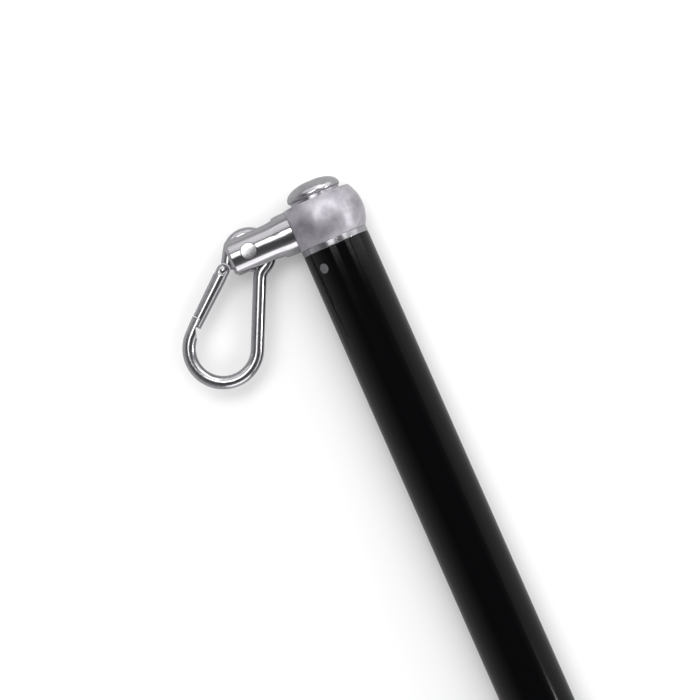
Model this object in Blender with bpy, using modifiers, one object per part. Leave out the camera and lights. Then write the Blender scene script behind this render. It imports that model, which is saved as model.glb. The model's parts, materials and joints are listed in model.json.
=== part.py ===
"""A pole with a swivel head and a snap hook, in metres.

The pole lies along X with its foot face at X = 0 and its head towards +X. The head's clevis arm points along +Y,
and the snap hook swings in the XY plane about a pin along Z. The pole, the ball and the foot cap lie level.
"""

import math

import bmesh
import bpy
from mathutils import Vector

# Fits
SEAT_GAP = 0.0003            # between pieces that touch
SMALL_GAP = 0.0002           # between pieces that touch inside the small gate
SLOT_CLEARANCE = 0.0007      # between the hook's wire and each wall of the clevis slot

# Pole
TUBE_DIAMETER = 0.0337
TUBE_WALL = 0.0020
TUBE_LENGTH = 0.450
TUBE_CHAMFER = 0.0004

# Rubber foot cap and the steel washer in it
CAP_DIAMETER = 0.0400
CAP_BASE = 0.0060
CAP_SLEEVE = 0.0420
CAP_ROUNDING = 0.0025
GROOVE_RADIUS = 0.0120
GROOVE_WIDTH = 0.0016
GROOVE_DEPTH = 0.0012
FOOT_WASHER_THICKNESS = 0.0015

# Head insert, pushed into the tube and held by two short pins
RING_HEIGHT = 0.0027
RING_ROUNDING = 0.0003
INSERT_DEPTH = 0.0280
INSERT_PIN_DIAMETER = 0.0050
INSERT_PIN_LENGTH = 0.0085
INSERT_PIN_BELOW_TOP = 0.0085
INSERT_PIN_TURN = math.radians(37.5)   # from straight up, towards the arm

# Spindle, its nut and washer
SPINDLE_DIAMETER = 0.0120
LOWER_THREAD_DIAMETER = 0.0100
UPPER_THREAD_DIAMETER = 0.0080
UPPER_THREAD_LENGTH = 0.0055
LOCK_WASHER_THICKNESS = 0.0022
LOCK_WASHER_WIDTH = 0.0035
NUT_HEIGHT = 0.0080
NUT_ACROSS_FLATS = 0.0170
THREAD_PAST_NUT = 0.0025

# Ball head and its two flanged bushes
BALL_DIAMETER = 0.0400
BALL_HEIGHT = 0.0216
BUSH_WALL = 0.0012
BUSH_FLANGE_WIDTH = 0.0030
BUSH_FLANGE_THICKNESS = 0.0012
BUSH_SPACING = 0.0010
ARM_SEAT_RADIUS = 0.0109     # of the flat on the ball that the arm is screwed against

# Domed cap nut on the spindle
DOME_DIAMETER = 0.0272
DOME_HEIGHT = 0.0088
DOME_NECK_HEIGHT = 0.0012
DOME_NECK_STEP = 0.0010
DOME_RIM_HEIGHT = 0.0010
DOME_CROWN_RADIUS = 0.0045
DOME_FULLNESS = 2.2          # 2 is an ellipse, more is fuller at the shoulder

# Clevis arm, from the ball out to its pin and its end
ARM_BASE_DIAMETER = 0.0211
ARM_DIAMETER = 0.0192
ARM_BASE_LENGTH = 0.0055
ARM_TAPER_LENGTH = 0.0060
ARM_PIN_REACH = 0.0400       # from the pole's axis to the clevis pin
ARM_END_PAST_PIN = 0.0104
ARM_CHAMFER = 0.0014
STUD_DIAMETER = 0.0100
SLOT_END_CLEARANCE = 0.0013  # between the hook's eye and the slot's foot
CLEVIS_PIN_DIAMETER = 0.0078
CLEVIS_PIN_CHAMFER = 0.0004
LOCK_SCREW_DIAMETER = 0.0030
LOCK_SCREW_LENGTH = 0.0042
LOCK_SCREW_INSIDE_SEAT = 0.0026    # from the arm's seat in towards the pole's axis

# Snap hook: a bent wire with a wide bow, a straight spine and a small eye
WIRE_DIAMETER = 0.0066
BOW_RADIUS = 0.0166          # of the wire's centreline
EYE_RADIUS = 0.0098          # of the wire's centreline
EYE_ABOVE_BOW = 0.0475       # from the bow's centre to the eye's centre
SPINE_LEAN = math.radians(13.6)
NOSE_LEAN = math.radians(8.0)
WAIST_RADIUS = 0.0080        # of the bend between the spine and the eye, on the centreline
HINGE_END_LEAN = math.radians(8.0)
HINGE_END_ABOVE_RIVET = 0.0012
EYE_BAR_DIAMETER = 0.0044
EYE_BAR_CLEARANCE = 0.0009   # between the bar and the clevis pin
EYE_PLAY = 0.0013            # between the eye's wire and the clevis pin, on the side that it hangs by
PIN_LEAN_IN_EYE = math.radians(22.62)  # of that side from straight up, towards the gate
HOOK_REST_SWING = math.radians(39.25)  # of the hook from the pole's direction towards the foot

# Gate, its rivet, plunger and spring
RIVET_X = -0.0102
RIVET_ABOVE_BOW = 0.0364
RIVET_DIAMETER = 0.0024
RIVET_HEAD_RISE = 0.0002
GATE_DIAMETER = 0.0070       # at the rivet
GATE_TIP_DIAMETER = 0.0060
TONGUE_THICKNESS = 0.0024
TONGUE_RADIUS = 0.0028
NOSE_LIP_HEIGHT = 0.0107     # of the nose's outer lip above the bow's centre
NOSE_STEP_DEPTH = 0.0042     # how far the gate's tip reaches down behind the lip
LIP_SHARE = 0.56             # of the wire's width that the lip keeps
NOSE_SLANT = 0.0046          # height of the slanted face under the gate's tip
PLUNGER_DIAMETER = 0.0022
PLUNGER_LENGTH = 0.0040
SPRING_LENGTH = 0.0075
SPRING_WIRE = 0.00040
SPRING_TURNS = 6

ROUND_STEPS = 36             # sides of the large turned pieces
SMALL_STEPS = 24             # sides of the small ones

# Places along X that follow from the sizes above
FOOT_WASHER_X = CAP_BASE + SEAT_GAP
TUBE_FOOT_X = FOOT_WASHER_X + FOOT_WASHER_THICKNESS + SEAT_GAP
TUBE_TOP_X = TUBE_FOOT_X + TUBE_LENGTH
RING_X = TUBE_TOP_X + SEAT_GAP
RING_TOP_X = RING_X + RING_HEIGHT
BALL_FOOT_X = RING_TOP_X + SEAT_GAP
BALL_X = BALL_FOOT_X + BALL_HEIGHT / 2
BALL_TOP_X = BALL_FOOT_X + BALL_HEIGHT
DOME_X = BALL_TOP_X + SEAT_GAP

# Radii that follow
TUBE_RADIUS = TUBE_DIAMETER / 2
TUBE_BORE_RADIUS = TUBE_RADIUS - TUBE_WALL
INSERT_RADIUS = TUBE_BORE_RADIUS - SEAT_GAP
SPINDLE_RADIUS = SPINDLE_DIAMETER / 2
LOWER_THREAD_RADIUS = LOWER_THREAD_DIAMETER / 2
BUSH_BORE_RADIUS = SPINDLE_RADIUS + SEAT_GAP
BUSH_RADIUS = BUSH_BORE_RADIUS + BUSH_WALL
BALL_BORE_RADIUS = BUSH_RADIUS + SEAT_GAP
FLANGE_RADIUS = BUSH_RADIUS + BUSH_FLANGE_WIDTH
BALL_RADIUS = BALL_DIAMETER / 2
ARM_SEAT_Y = math.sqrt(BALL_RADIUS ** 2 - ARM_SEAT_RADIUS ** 2)
LOCK_SCREW_REACH = ARM_SEAT_Y - LOCK_SCREW_INSIDE_SEAT
STUD_RADIUS = STUD_DIAMETER / 2
WIRE_RADIUS = WIRE_DIAMETER / 2
SLOT_WIDTH = WIRE_DIAMETER + 2 * SLOT_CLEARANCE
GATE_RADIUS = GATE_DIAMETER / 2
CLEVIS_PIN_RADIUS = CLEVIS_PIN_DIAMETER / 2
PIN_OFF_EYE = EYE_RADIUS - WIRE_RADIUS - CLEVIS_PIN_RADIUS - EYE_PLAY
SLOT_DEPTH_PAST_PIN = EYE_RADIUS + WIRE_RADIUS + PIN_OFF_EYE + SLOT_END_CLEARANCE
EYE_BAR_BELOW_PIN = CLEVIS_PIN_RADIUS + EYE_BAR_DIAMETER / 2 + EYE_BAR_CLEARANCE

# Places in the hook's plane, measured from the bow's centre
EYE_CENTRE = Vector((0, EYE_ABOVE_BOW))
PIN_IN_HOOK = EYE_CENTRE + PIN_OFF_EYE * Vector((-math.sin(PIN_LEAN_IN_EYE), math.cos(PIN_LEAN_IN_EYE)))
RIVET_IN_HOOK = Vector((RIVET_X, RIVET_ABOVE_BOW))
NOSE_TANGENT = BOW_RADIUS * Vector((-math.cos(NOSE_LEAN), math.sin(NOSE_LEAN)))
NOSE_END = NOSE_TANGENT + Vector((math.tan(NOSE_LEAN), 1)) * (NOSE_LIP_HEIGHT - NOSE_TANGENT.y)
GATE_LINE = NOSE_END - RIVET_IN_HOOK


def clear_scene():
    for obj in list(bpy.data.objects):
        bpy.data.objects.remove(obj, do_unlink=True)


def new_collection(name):
    collection = bpy.data.collections.new(name)
    bpy.context.scene.collection.children.link(collection)
    return collection


def new_material(name, colour, roughness, metallic):
    material = bpy.data.materials.new(name)
    material.use_nodes = True
    shader = material.node_tree.nodes["Principled BSDF"]
    shader.inputs["Base Color"].default_value = (*colour, 1)
    shader.inputs["Roughness"].default_value = roughness
    shader.inputs["Metallic"].default_value = metallic
    material.diffuse_color = (*colour, 1)
    return material


def polished_steel(name):
    return new_material(name, (0.62, 0.61, 0.63), 0.12, 1.0)


def satin_steel(name):
    return new_material(name, (0.56, 0.55, 0.57), 0.35, 1.0)


def black_plastic(name):
    return new_material(name, (0.03, 0.03, 0.03), 0.5, 0.0)


clear_scene()
PARTS = new_collection("swivel_hook_pole")
CUTTERS = new_collection("cutters")


def new_empty(name, location, parent=None):
    empty = bpy.data.objects.new(name, None)
    empty.empty_display_size = 0.01
    empty.location = location
    empty.parent = parent
    PARTS.objects.link(empty)
    return empty


def add_piece(name, mesh, material, location=(0, 0, 0), rotation=(0, 0, 0), parent=None):
    """A named sub-part that stands in the collection of parts."""
    piece = bpy.data.objects.new(name, mesh)
    mesh.materials.clear()
    mesh.materials.append(material)
    piece.location = location
    piece.rotation_euler = rotation
    piece.parent = parent
    PARTS.objects.link(piece)
    return piece


def profile_mesh(name, points, closed):
    """The edges of a turned profile of (radius, height) points in the XZ plane."""
    mesh = bpy.data.meshes.new(name)
    edges = [(i, i + 1) for i in range(len(points) - 1)]
    if closed:
        edges.append((len(points) - 1, 0))
    mesh.from_pydata([(radius, 0, height) for radius, height in points], edges, [])
    return mesh


def add_screw(piece, steps):
    screw = piece.modifiers.new("turn", "SCREW")
    screw.axis = "Z"
    screw.angle = math.tau
    screw.steps = steps
    screw.render_steps = steps
    screw.use_merge_vertices = True
    screw.merge_threshold = 0.00001
    screw.use_smooth_shade = True


def turned_piece(name, points, material, closed=False, steps=ROUND_STEPS, **place):
    """A piece turned about its own Z from a profile that runs down its outer side."""
    piece = add_piece(name, profile_mesh(name, points, closed), material, **place)
    add_screw(piece, steps)
    return piece


def cylinder_mesh(name, radius, depth, sides):
    """A closed cylinder about Z, centred on its origin."""
    mesh = bpy.data.meshes.new(name)
    shape = bmesh.new()
    bmesh.ops.create_cone(shape, cap_ends=True, segments=sides, radius1=radius, radius2=radius, depth=depth)
    shape.to_mesh(mesh)
    shape.free()
    mesh.shade_smooth()
    mesh.set_sharp_from_angle(angle=math.radians(40))
    return mesh


def box_mesh(name, low, high):
    mesh = bpy.data.meshes.new(name)
    shape = bmesh.new()
    bmesh.ops.create_cube(shape, size=1)
    size = Vector(high) - Vector(low)
    centre = (Vector(high) + Vector(low)) / 2
    bmesh.ops.scale(shape, vec=size, verts=shape.verts)
    bmesh.ops.translate(shape, vec=centre, verts=shape.verts)
    shape.to_mesh(mesh)
    shape.free()
    return mesh


def mesh_of_curve(curve, name):
    """The closed mesh of a curve, with its caps welded on."""
    guide = bpy.data.objects.new(name, curve)
    CUTTERS.objects.link(guide)
    evaluated = guide.evaluated_get(bpy.context.evaluated_depsgraph_get())
    mesh = bpy.data.meshes.new_from_object(evaluated)
    bpy.data.objects.remove(guide, do_unlink=True)
    shape = bmesh.new()
    shape.from_mesh(mesh)
    bmesh.ops.remove_doubles(shape, verts=shape.verts, dist=0.000001)
    bmesh.ops.recalc_face_normals(shape, faces=shape.faces)
    shape.to_mesh(mesh)
    shape.free()
    return mesh


def wire_mesh(name, points, radius, bevel_resolution):
    curve = bpy.data.curves.new(name, "CURVE")
    curve.dimensions = "3D"
    curve.bevel_depth = radius
    curve.bevel_resolution = bevel_resolution
    curve.use_fill_caps = True
    spline = curve.splines.new("POLY")
    spline.points.add(len(points) - 1)
    for point, place in zip(spline.points, points, strict=True):
        point.co = (*place, 1)
    mesh = mesh_of_curve(curve, name)
    mesh.shade_smooth()
    mesh.set_sharp_from_angle(angle=math.radians(40))
    return mesh


def outline_mesh(name, points, half_thickness):
    """A flat outline of (x, y) points, extruded both ways along Z."""
    curve = bpy.data.curves.new(name, "CURVE")
    curve.dimensions = "2D"
    curve.fill_mode = "BOTH"
    curve.extrude = half_thickness
    spline = curve.splines.new("POLY")
    spline.points.add(len(points) - 1)
    for point, place in zip(spline.points, points, strict=True):
        point.co = (place[0], place[1], 0, 1)
    spline.use_cyclic_u = True
    return mesh_of_curve(curve, name)


def arc_points(centre, radius, start, stop, count):
    """Points on an arc in the XY plane, from one angle to another."""
    angles = [start + (stop - start) * i / (count - 1) for i in range(count)]
    return [Vector((centre.x + radius * math.cos(a), centre.y + radius * math.sin(a))) for a in angles]


def boolean(piece, tool, operation):
    tool.hide_render = True
    tool.display_type = "WIRE"
    for collection in list(tool.users_collection):
        collection.objects.unlink(tool)
    CUTTERS.objects.link(tool)
    modifier = piece.modifiers.new(f"{operation.lower()} {tool.name}", "BOOLEAN")
    modifier.operation = operation
    modifier.solver = "EXACT"
    modifier.object = tool


def cut(piece, name, mesh, location=(0, 0, 0), rotation=(0, 0, 0), parent=None):
    """Cuts a shape out of a piece; its place is given in the parent's space."""
    tool = bpy.data.objects.new(name, mesh)
    tool.location = location
    tool.rotation_euler = rotation
    tool.parent = parent
    CUTTERS.objects.link(tool)
    boolean(piece, tool, "DIFFERENCE")


def fuse(piece, name, mesh, location=(0, 0, 0), rotation=(0, 0, 0), parent=None):
    """Makes a shape one solid with a piece."""
    tool = bpy.data.objects.new(name, mesh)
    tool.location = location
    tool.rotation_euler = rotation
    tool.parent = parent
    CUTTERS.objects.link(tool)
    boolean(piece, tool, "UNION")


ALONG_POLE = (0, math.pi / 2, 0)      # turns a piece's own Z to the world's X
ALONG_ARM = (-math.pi / 2, 0, 0)      # turns a piece's own Z to the world's Y


def pole_tube():
    outer = TUBE_RADIUS
    inner = TUBE_BORE_RADIUS
    chamfer = TUBE_CHAMFER
    profile = [
        (inner, TUBE_LENGTH),
        (outer - chamfer, TUBE_LENGTH),
        (outer, TUBE_LENGTH - chamfer),
        (outer, chamfer),
        (outer - chamfer, 0),
        (inner, 0),
    ]
    paint = new_material("gloss_black_paint", (0.008, 0.008, 0.01), 0.08, 0.0)
    place = {"location": (TUBE_FOOT_X, 0, 0), "rotation": ALONG_POLE}
    return turned_piece("pole_tube", profile, paint, closed=True, **place)


def head_insert():
    """The plug in the tube's top, with the polished ring that shows above it."""
    ring = TUBE_RADIUS
    bore = LOWER_THREAD_RADIUS + SEAT_GAP
    foot = -INSERT_DEPTH
    shoulder = SEAT_GAP
    top = shoulder + RING_HEIGHT
    profile = [
        (bore, top),
        (ring - RING_ROUNDING, top),
        (ring, top - RING_ROUNDING),
        (ring, shoulder + RING_ROUNDING),
        (ring - RING_ROUNDING, shoulder),
        (INSERT_RADIUS, shoulder),
        (INSERT_RADIUS, foot + TUBE_CHAMFER),
        (INSERT_RADIUS - TUBE_CHAMFER, foot),
        (bore, foot),
    ]
    place = {"location": (TUBE_TOP_X, 0, 0), "rotation": ALONG_POLE}
    return turned_piece("head_insert", profile, polished_steel("ring_steel"), closed=True, **place)


def insert_pins(tube, insert):
    """Two short pins through the tube's wall into the insert, on opposite sides of the spindle."""
    steel = new_material("pin_steel", (0.14, 0.14, 0.15), 0.45, 1.0)
    radius = INSERT_PIN_DIAMETER / 2
    centre = TUBE_RADIUS - INSERT_PIN_LENGTH / 2
    place_x = TUBE_TOP_X - INSERT_PIN_BELOW_TOP
    for name, turn in (("insert_pin_upper", INSERT_PIN_TURN), ("insert_pin_lower", INSERT_PIN_TURN + math.pi)):
        outward = Vector((0, math.sin(turn), math.cos(turn)))
        place = Vector((place_x, 0, 0)) + outward * centre
        rotation = (-turn, 0, 0)
        mesh = cylinder_mesh(name, radius, INSERT_PIN_LENGTH, SMALL_STEPS)
        add_piece(name, mesh, steel, location=place, rotation=rotation)
        hole_foot = centre - INSERT_PIN_LENGTH / 2 - SEAT_GAP
        hole_length = INSERT_PIN_LENGTH + 4 * TUBE_WALL
        hole = cylinder_mesh(f"{name}_hole", radius + SEAT_GAP, hole_length, SMALL_STEPS)
        hole_place = Vector((place_x, 0, 0)) + outward * (hole_foot + hole_length / 2)
        cut(tube, f"{name}_tube_hole", hole, location=hole_place, rotation=rotation)
        cut(insert, f"{name}_insert_hole", hole, location=hole_place, rotation=rotation)


def nut_x():
    """Where the spindle's nut starts, below the insert and the lock washer."""
    washer_top = TUBE_TOP_X - INSERT_DEPTH - SEAT_GAP
    return washer_top - LOCK_WASHER_THICKNESS - SEAT_GAP - NUT_HEIGHT


def swivel_spindle():
    """A shouldered bolt: the ball turns on its thick middle, between the insert and the domed cap."""
    foot = nut_x() - THREAD_PAST_NUT
    shoulder = RING_TOP_X + SEAT_GAP - foot
    top = DOME_X - SEAT_GAP - foot
    end = top + SEAT_GAP + UPPER_THREAD_LENGTH
    upper = UPPER_THREAD_DIAMETER / 2
    profile = [
        (0, end),
        (upper, end),
        (upper, top),
        (SPINDLE_RADIUS, top),
        (SPINDLE_RADIUS, shoulder),
        (LOWER_THREAD_RADIUS, shoulder),
        (LOWER_THREAD_RADIUS, 0),
        (0, 0),
    ]
    place = {"location": (foot, 0, 0), "rotation": ALONG_POLE}
    return turned_piece("swivel_spindle", profile, polished_steel("spindle_steel"), steps=32, **place)


def spindle_fastenings():
    """The split lock washer and the nut that hold the spindle, inside the tube below the insert."""
    steel = satin_steel("fastener_steel")
    bore = LOWER_THREAD_RADIUS + SEAT_GAP
    washer_radius = bore + LOCK_WASHER_WIDTH
    washer_profile = [
        (bore, LOCK_WASHER_THICKNESS),
        (washer_radius, LOCK_WASHER_THICKNESS),
        (washer_radius, 0),
        (bore, 0),
    ]
    place = {"location": (nut_x() + NUT_HEIGHT + SEAT_GAP, 0, 0), "rotation": ALONG_POLE}
    washer = turned_piece("spindle_lock_washer", washer_profile, steel, closed=True, steps=SMALL_STEPS, **place)
    split = box_mesh("washer_split", (0, -0.0005, -1), (washer_radius * 2, 0.0005, 1))
    cut(washer, "washer_split", split, **place)
    nut_mesh = cylinder_mesh("spindle_nut", NUT_ACROSS_FLATS / math.sqrt(3), NUT_HEIGHT, 6)
    nut_place = (nut_x() + NUT_HEIGHT / 2, 0, 0)
    nut = add_piece("spindle_nut", nut_mesh, steel, location=nut_place, rotation=ALONG_POLE)
    thread = cylinder_mesh("nut_thread", bore, NUT_HEIGHT * 2, SMALL_STEPS)
    cut(nut, "nut_thread", thread, location=nut_place, rotation=ALONG_POLE)


def domed_cap():
    """The polished cap nut on the spindle's upper end, with a narrow neck under its rim."""
    rim = DOME_DIAMETER / 2
    neck = rim - DOME_NECK_STEP
    shoulder = DOME_NECK_HEIGHT + DOME_RIM_HEIGHT
    rise = DOME_HEIGHT - shoulder
    steps = 10
    crown_angle = math.acos((DOME_CROWN_RADIUS / rim) ** (DOME_FULLNESS / 2))
    profile = []
    for i in range(steps + 1):
        angle = crown_angle * (1 - i / steps)
        radius = rim * math.cos(angle) ** (2 / DOME_FULLNESS)
        height = shoulder + rise * math.sin(angle) ** (2 / DOME_FULLNESS)
        profile.append((radius, height))
    hole = UPPER_THREAD_DIAMETER / 2 + SEAT_GAP
    hole_top = UPPER_THREAD_LENGTH + SEAT_GAP
    profile = [(0, profile[0][1])] + profile
    profile += [
        (rim - SEAT_GAP, shoulder - DOME_RIM_HEIGHT / 2),
        (neck, DOME_NECK_HEIGHT),
        (neck, 0),
        (hole, 0),
        (hole, hole_top),
        (0, hole_top),
    ]
    place = {"location": (DOME_X, 0, 0), "rotation": ALONG_POLE}
    return turned_piece("domed_cap", profile, polished_steel("cap_steel"), **place)


def foot_end():
    """The rubber cap over the tube's foot, and the steel washer that keeps the tube from cutting through it."""
    outer = CAP_DIAMETER / 2
    inner = TUBE_RADIUS + SEAT_GAP
    top = CAP_BASE + CAP_SLEEVE
    rounding = CAP_ROUNDING
    corner = [
        (outer - rounding + rounding * math.cos(a), rounding - rounding * math.sin(a))
        for a in (math.pi / 2 * i / 4 for i in range(5))
    ]
    groove_outer = GROOVE_RADIUS + GROOVE_WIDTH / 2
    groove_inner = GROOVE_RADIUS - GROOVE_WIDTH / 2
    lip = (outer - inner) / 2
    profile = [(0, CAP_BASE), (inner, CAP_BASE), (inner, top), (inner + lip / 2, top), (outer, top - lip)]
    profile += corner
    profile += [
        (groove_outer, 0),
        (groove_outer, GROOVE_DEPTH),
        (groove_inner, GROOVE_DEPTH),
        (groove_inner, 0),
        (0, 0),
    ]
    rubber = new_material("foot_rubber", (0.02, 0.02, 0.02), 0.7, 0.0)
    turned_piece("foot_cap", profile, rubber, rotation=ALONG_POLE)
    disc = cylinder_mesh("foot_washer", TUBE_RADIUS - SEAT_GAP, FOOT_WASHER_THICKNESS, SMALL_STEPS)
    disc_place = (FOOT_WASHER_X + FOOT_WASHER_THICKNESS / 2, 0, 0)
    add_piece("foot_washer", disc, satin_steel("washer_steel"), location=disc_place, rotation=ALONG_POLE)


def ball_head(pivot):
    """A ball cut flat at both ends and bored for the spindle, with a flat on its side for the arm."""
    half = BALL_HEIGHT / 2
    bore = BALL_BORE_RADIUS
    recess = FLANGE_RADIUS + SEAT_GAP
    depth = BUSH_FLANGE_THICKNESS + SEAT_GAP
    end_angle = math.asin(half / BALL_RADIUS)
    steps = 12
    angles = [end_angle * (1 - 2 * i / steps) for i in range(steps + 1)]
    profile = [(bore, half - depth), (recess, half - depth), (recess, half)]
    profile += [(BALL_RADIUS * math.cos(a), BALL_RADIUS * math.sin(a)) for a in angles]
    profile += [(recess, -half), (recess, -half + depth), (bore, -half + depth)]
    ball = turned_piece(
        "ball_head", profile, satin_steel("ball_steel"), closed=True, rotation=ALONG_POLE, parent=pivot
    )
    flat = box_mesh("arm_flat", (-BALL_RADIUS, ARM_SEAT_Y, -BALL_RADIUS), (BALL_RADIUS, 2 * BALL_RADIUS, BALL_RADIUS))
    cut(ball, "arm_flat", flat, parent=pivot)
    stud_hole = cylinder_mesh("stud_hole", STUD_RADIUS + SEAT_GAP, BALL_RADIUS, SMALL_STEPS)
    stud_place = (0, BALL_RADIUS / 2 + BALL_BORE_RADIUS * 0.7, 0)
    cut(ball, "stud_hole", stud_hole, location=stud_place, rotation=ALONG_ARM, parent=pivot)
    screw_hole = cylinder_mesh("lock_screw_hole", LOCK_SCREW_DIAMETER / 2 + SEAT_GAP, BALL_HEIGHT, SMALL_STEPS)
    screw_place = (-BALL_HEIGHT / 2, LOCK_SCREW_REACH, 0)
    cut(ball, "lock_screw_hole", screw_hole, location=screw_place, rotation=ALONG_POLE, parent=pivot)
    return ball


def bushes(pivot):
    """Two flanged plastic bushes in the ball's bore, a flange at each end."""
    plastic = black_plastic("bush_plastic")
    half = BALL_HEIGHT / 2
    length = half - BUSH_SPACING / 2
    profile = [
        (BUSH_BORE_RADIUS, length),
        (BUSH_RADIUS, length),
        (BUSH_RADIUS, BUSH_FLANGE_THICKNESS),
        (FLANGE_RADIUS, BUSH_FLANGE_THICKNESS),
        (FLANGE_RADIUS, 0),
        (BUSH_BORE_RADIUS, 0),
    ]
    upper = (0, -math.pi / 2, 0)
    for name, x, rotation in (("lower_bush", -half, ALONG_POLE), ("upper_bush", half, upper)):
        place = {"location": (x, 0, 0), "rotation": rotation, "parent": pivot}
        turned_piece(name, profile, plastic, closed=True, steps=32, **place)


def clevis_arm(pivot):
    """The arm: a stud screwed into the ball, a collar that tapers to the body, and the slot for the hook's eye."""
    base = ARM_BASE_DIAMETER / 2
    body = ARM_DIAMETER / 2
    stud_foot = BALL_BORE_RADIUS + SEAT_GAP
    seat = ARM_SEAT_Y + SEAT_GAP
    end = ARM_PIN_REACH + ARM_END_PAST_PIN
    taper_start = seat + ARM_BASE_LENGTH
    taper = []
    for i in range(7):
        share = i / 6
        blend = (1 - math.cos(math.pi * share)) / 2
        taper.append((base + (body - base) * blend, taper_start + ARM_TAPER_LENGTH * share))
    profile = [(0, end), (body - ARM_CHAMFER, end), (body, end - ARM_CHAMFER)]
    profile += taper[::-1]
    profile += [(base, seat), (STUD_RADIUS, seat), (STUD_RADIUS, stud_foot), (0, stud_foot)]
    arm = turned_piece("clevis_arm", profile, satin_steel("arm_steel"), rotation=ALONG_ARM, parent=pivot)
    slot_foot = ARM_PIN_REACH - SLOT_DEPTH_PAST_PIN
    slot = box_mesh("slot", (-2 * base, slot_foot, -SLOT_WIDTH / 2), (2 * base, 2 * end, SLOT_WIDTH / 2))
    cut(arm, "slot", slot, parent=pivot)
    hole = cylinder_mesh("clevis_pin_hole", CLEVIS_PIN_RADIUS + SEAT_GAP, 4 * base, SMALL_STEPS)
    cut(arm, "clevis_pin_hole", hole, location=(0, ARM_PIN_REACH, 0), parent=pivot)


def lock_screw(pivot):
    """The headless screw that bears on the arm's stud, reached from the ball's lower face."""
    tip = -STUD_RADIUS - SEAT_GAP
    mesh = cylinder_mesh("arm_lock_screw", LOCK_SCREW_DIAMETER / 2, LOCK_SCREW_LENGTH, SMALL_STEPS)
    place = (tip - LOCK_SCREW_LENGTH / 2, LOCK_SCREW_REACH, 0)
    steel = satin_steel("screw_steel")
    screw = add_piece("arm_lock_screw", mesh, steel, location=place, rotation=ALONG_POLE, parent=pivot)
    socket = cylinder_mesh("screw_socket", LOCK_SCREW_DIAMETER / 4, LOCK_SCREW_LENGTH / 2, 6)
    socket_place = (tip - LOCK_SCREW_LENGTH, LOCK_SCREW_REACH, 0)
    cut(screw, "screw_socket", socket, location=socket_place, rotation=ALONG_POLE, parent=pivot)


def clevis_pin(pivot):
    radius = CLEVIS_PIN_RADIUS
    chamfer = CLEVIS_PIN_CHAMFER
    half = ARM_DIAMETER / 2 - chamfer
    profile = [
        (0, half),
        (radius - chamfer, half),
        (radius, half - chamfer),
        (radius, -half + chamfer),
        (radius - chamfer, -half),
        (0, -half),
    ]
    place = {"location": (0, ARM_PIN_REACH, 0), "parent": pivot}
    turned_piece("clevis_pin", profile, polished_steel("clevis_pin_steel"), steps=32, **place)


def waist_centre():
    """The centre of the bend that is tangent to the spine and to the eye, outside the wire."""
    off_spine = Vector((math.cos(SPINE_LEAN), math.sin(SPINE_LEAN)))
    up_spine = Vector((-off_spine.y, off_spine.x))
    across = BOW_RADIUS + WAIST_RADIUS - EYE_CENTRE.dot(off_spine)
    reach = EYE_RADIUS + WAIST_RADIUS
    return EYE_CENTRE + across * off_spine - math.sqrt(reach ** 2 - across ** 2) * up_spine


def hook_centreline():
    """The wire's path in the hook's plane: hinge end, eye, waist, spine, bow and nose."""
    eye_start = math.pi + HINGE_END_LEAN
    eye_left = EYE_CENTRE + EYE_RADIUS * Vector((math.cos(eye_start), math.sin(eye_start)))
    drop = eye_left.y - RIVET_ABOVE_BOW - HINGE_END_ABOVE_RIVET
    waist = waist_centre()
    to_waist = waist - EYE_CENTRE
    waist_start = math.atan2(to_waist.y, to_waist.x)
    points = [eye_left + Vector((math.tan(HINGE_END_LEAN), -1)) * drop]
    points += arc_points(EYE_CENTRE, EYE_RADIUS, eye_start, waist_start, 17)
    points += arc_points(waist, WAIST_RADIUS, waist_start + math.pi, math.pi + SPINE_LEAN, 6)
    points += arc_points(Vector((0, 0)), BOW_RADIUS, SPINE_LEAN, -math.pi - NOSE_LEAN, 25)
    points.append(NOSE_END)
    return points


def nose_cut_outline():
    """Where the gate's tip lies in the nose, square to the gate, with a slanted face below it."""
    along = -GATE_LINE.normalized()
    across = Vector((along.y, -along.x))
    step = NOSE_END + across * (WIRE_DIAMETER * (LIP_SHARE - 0.5))
    step_foot = step - along * (NOSE_STEP_DEPTH + SEAT_GAP)
    inner_foot = step_foot + across * WIRE_DIAMETER * (1 - LIP_SHARE) - along * NOSE_SLANT
    far = across * WIRE_DIAMETER
    return [step + along * WIRE_DIAMETER, step_foot, inner_foot, inner_foot + far, step + along * WIRE_DIAMETER + far]


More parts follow.
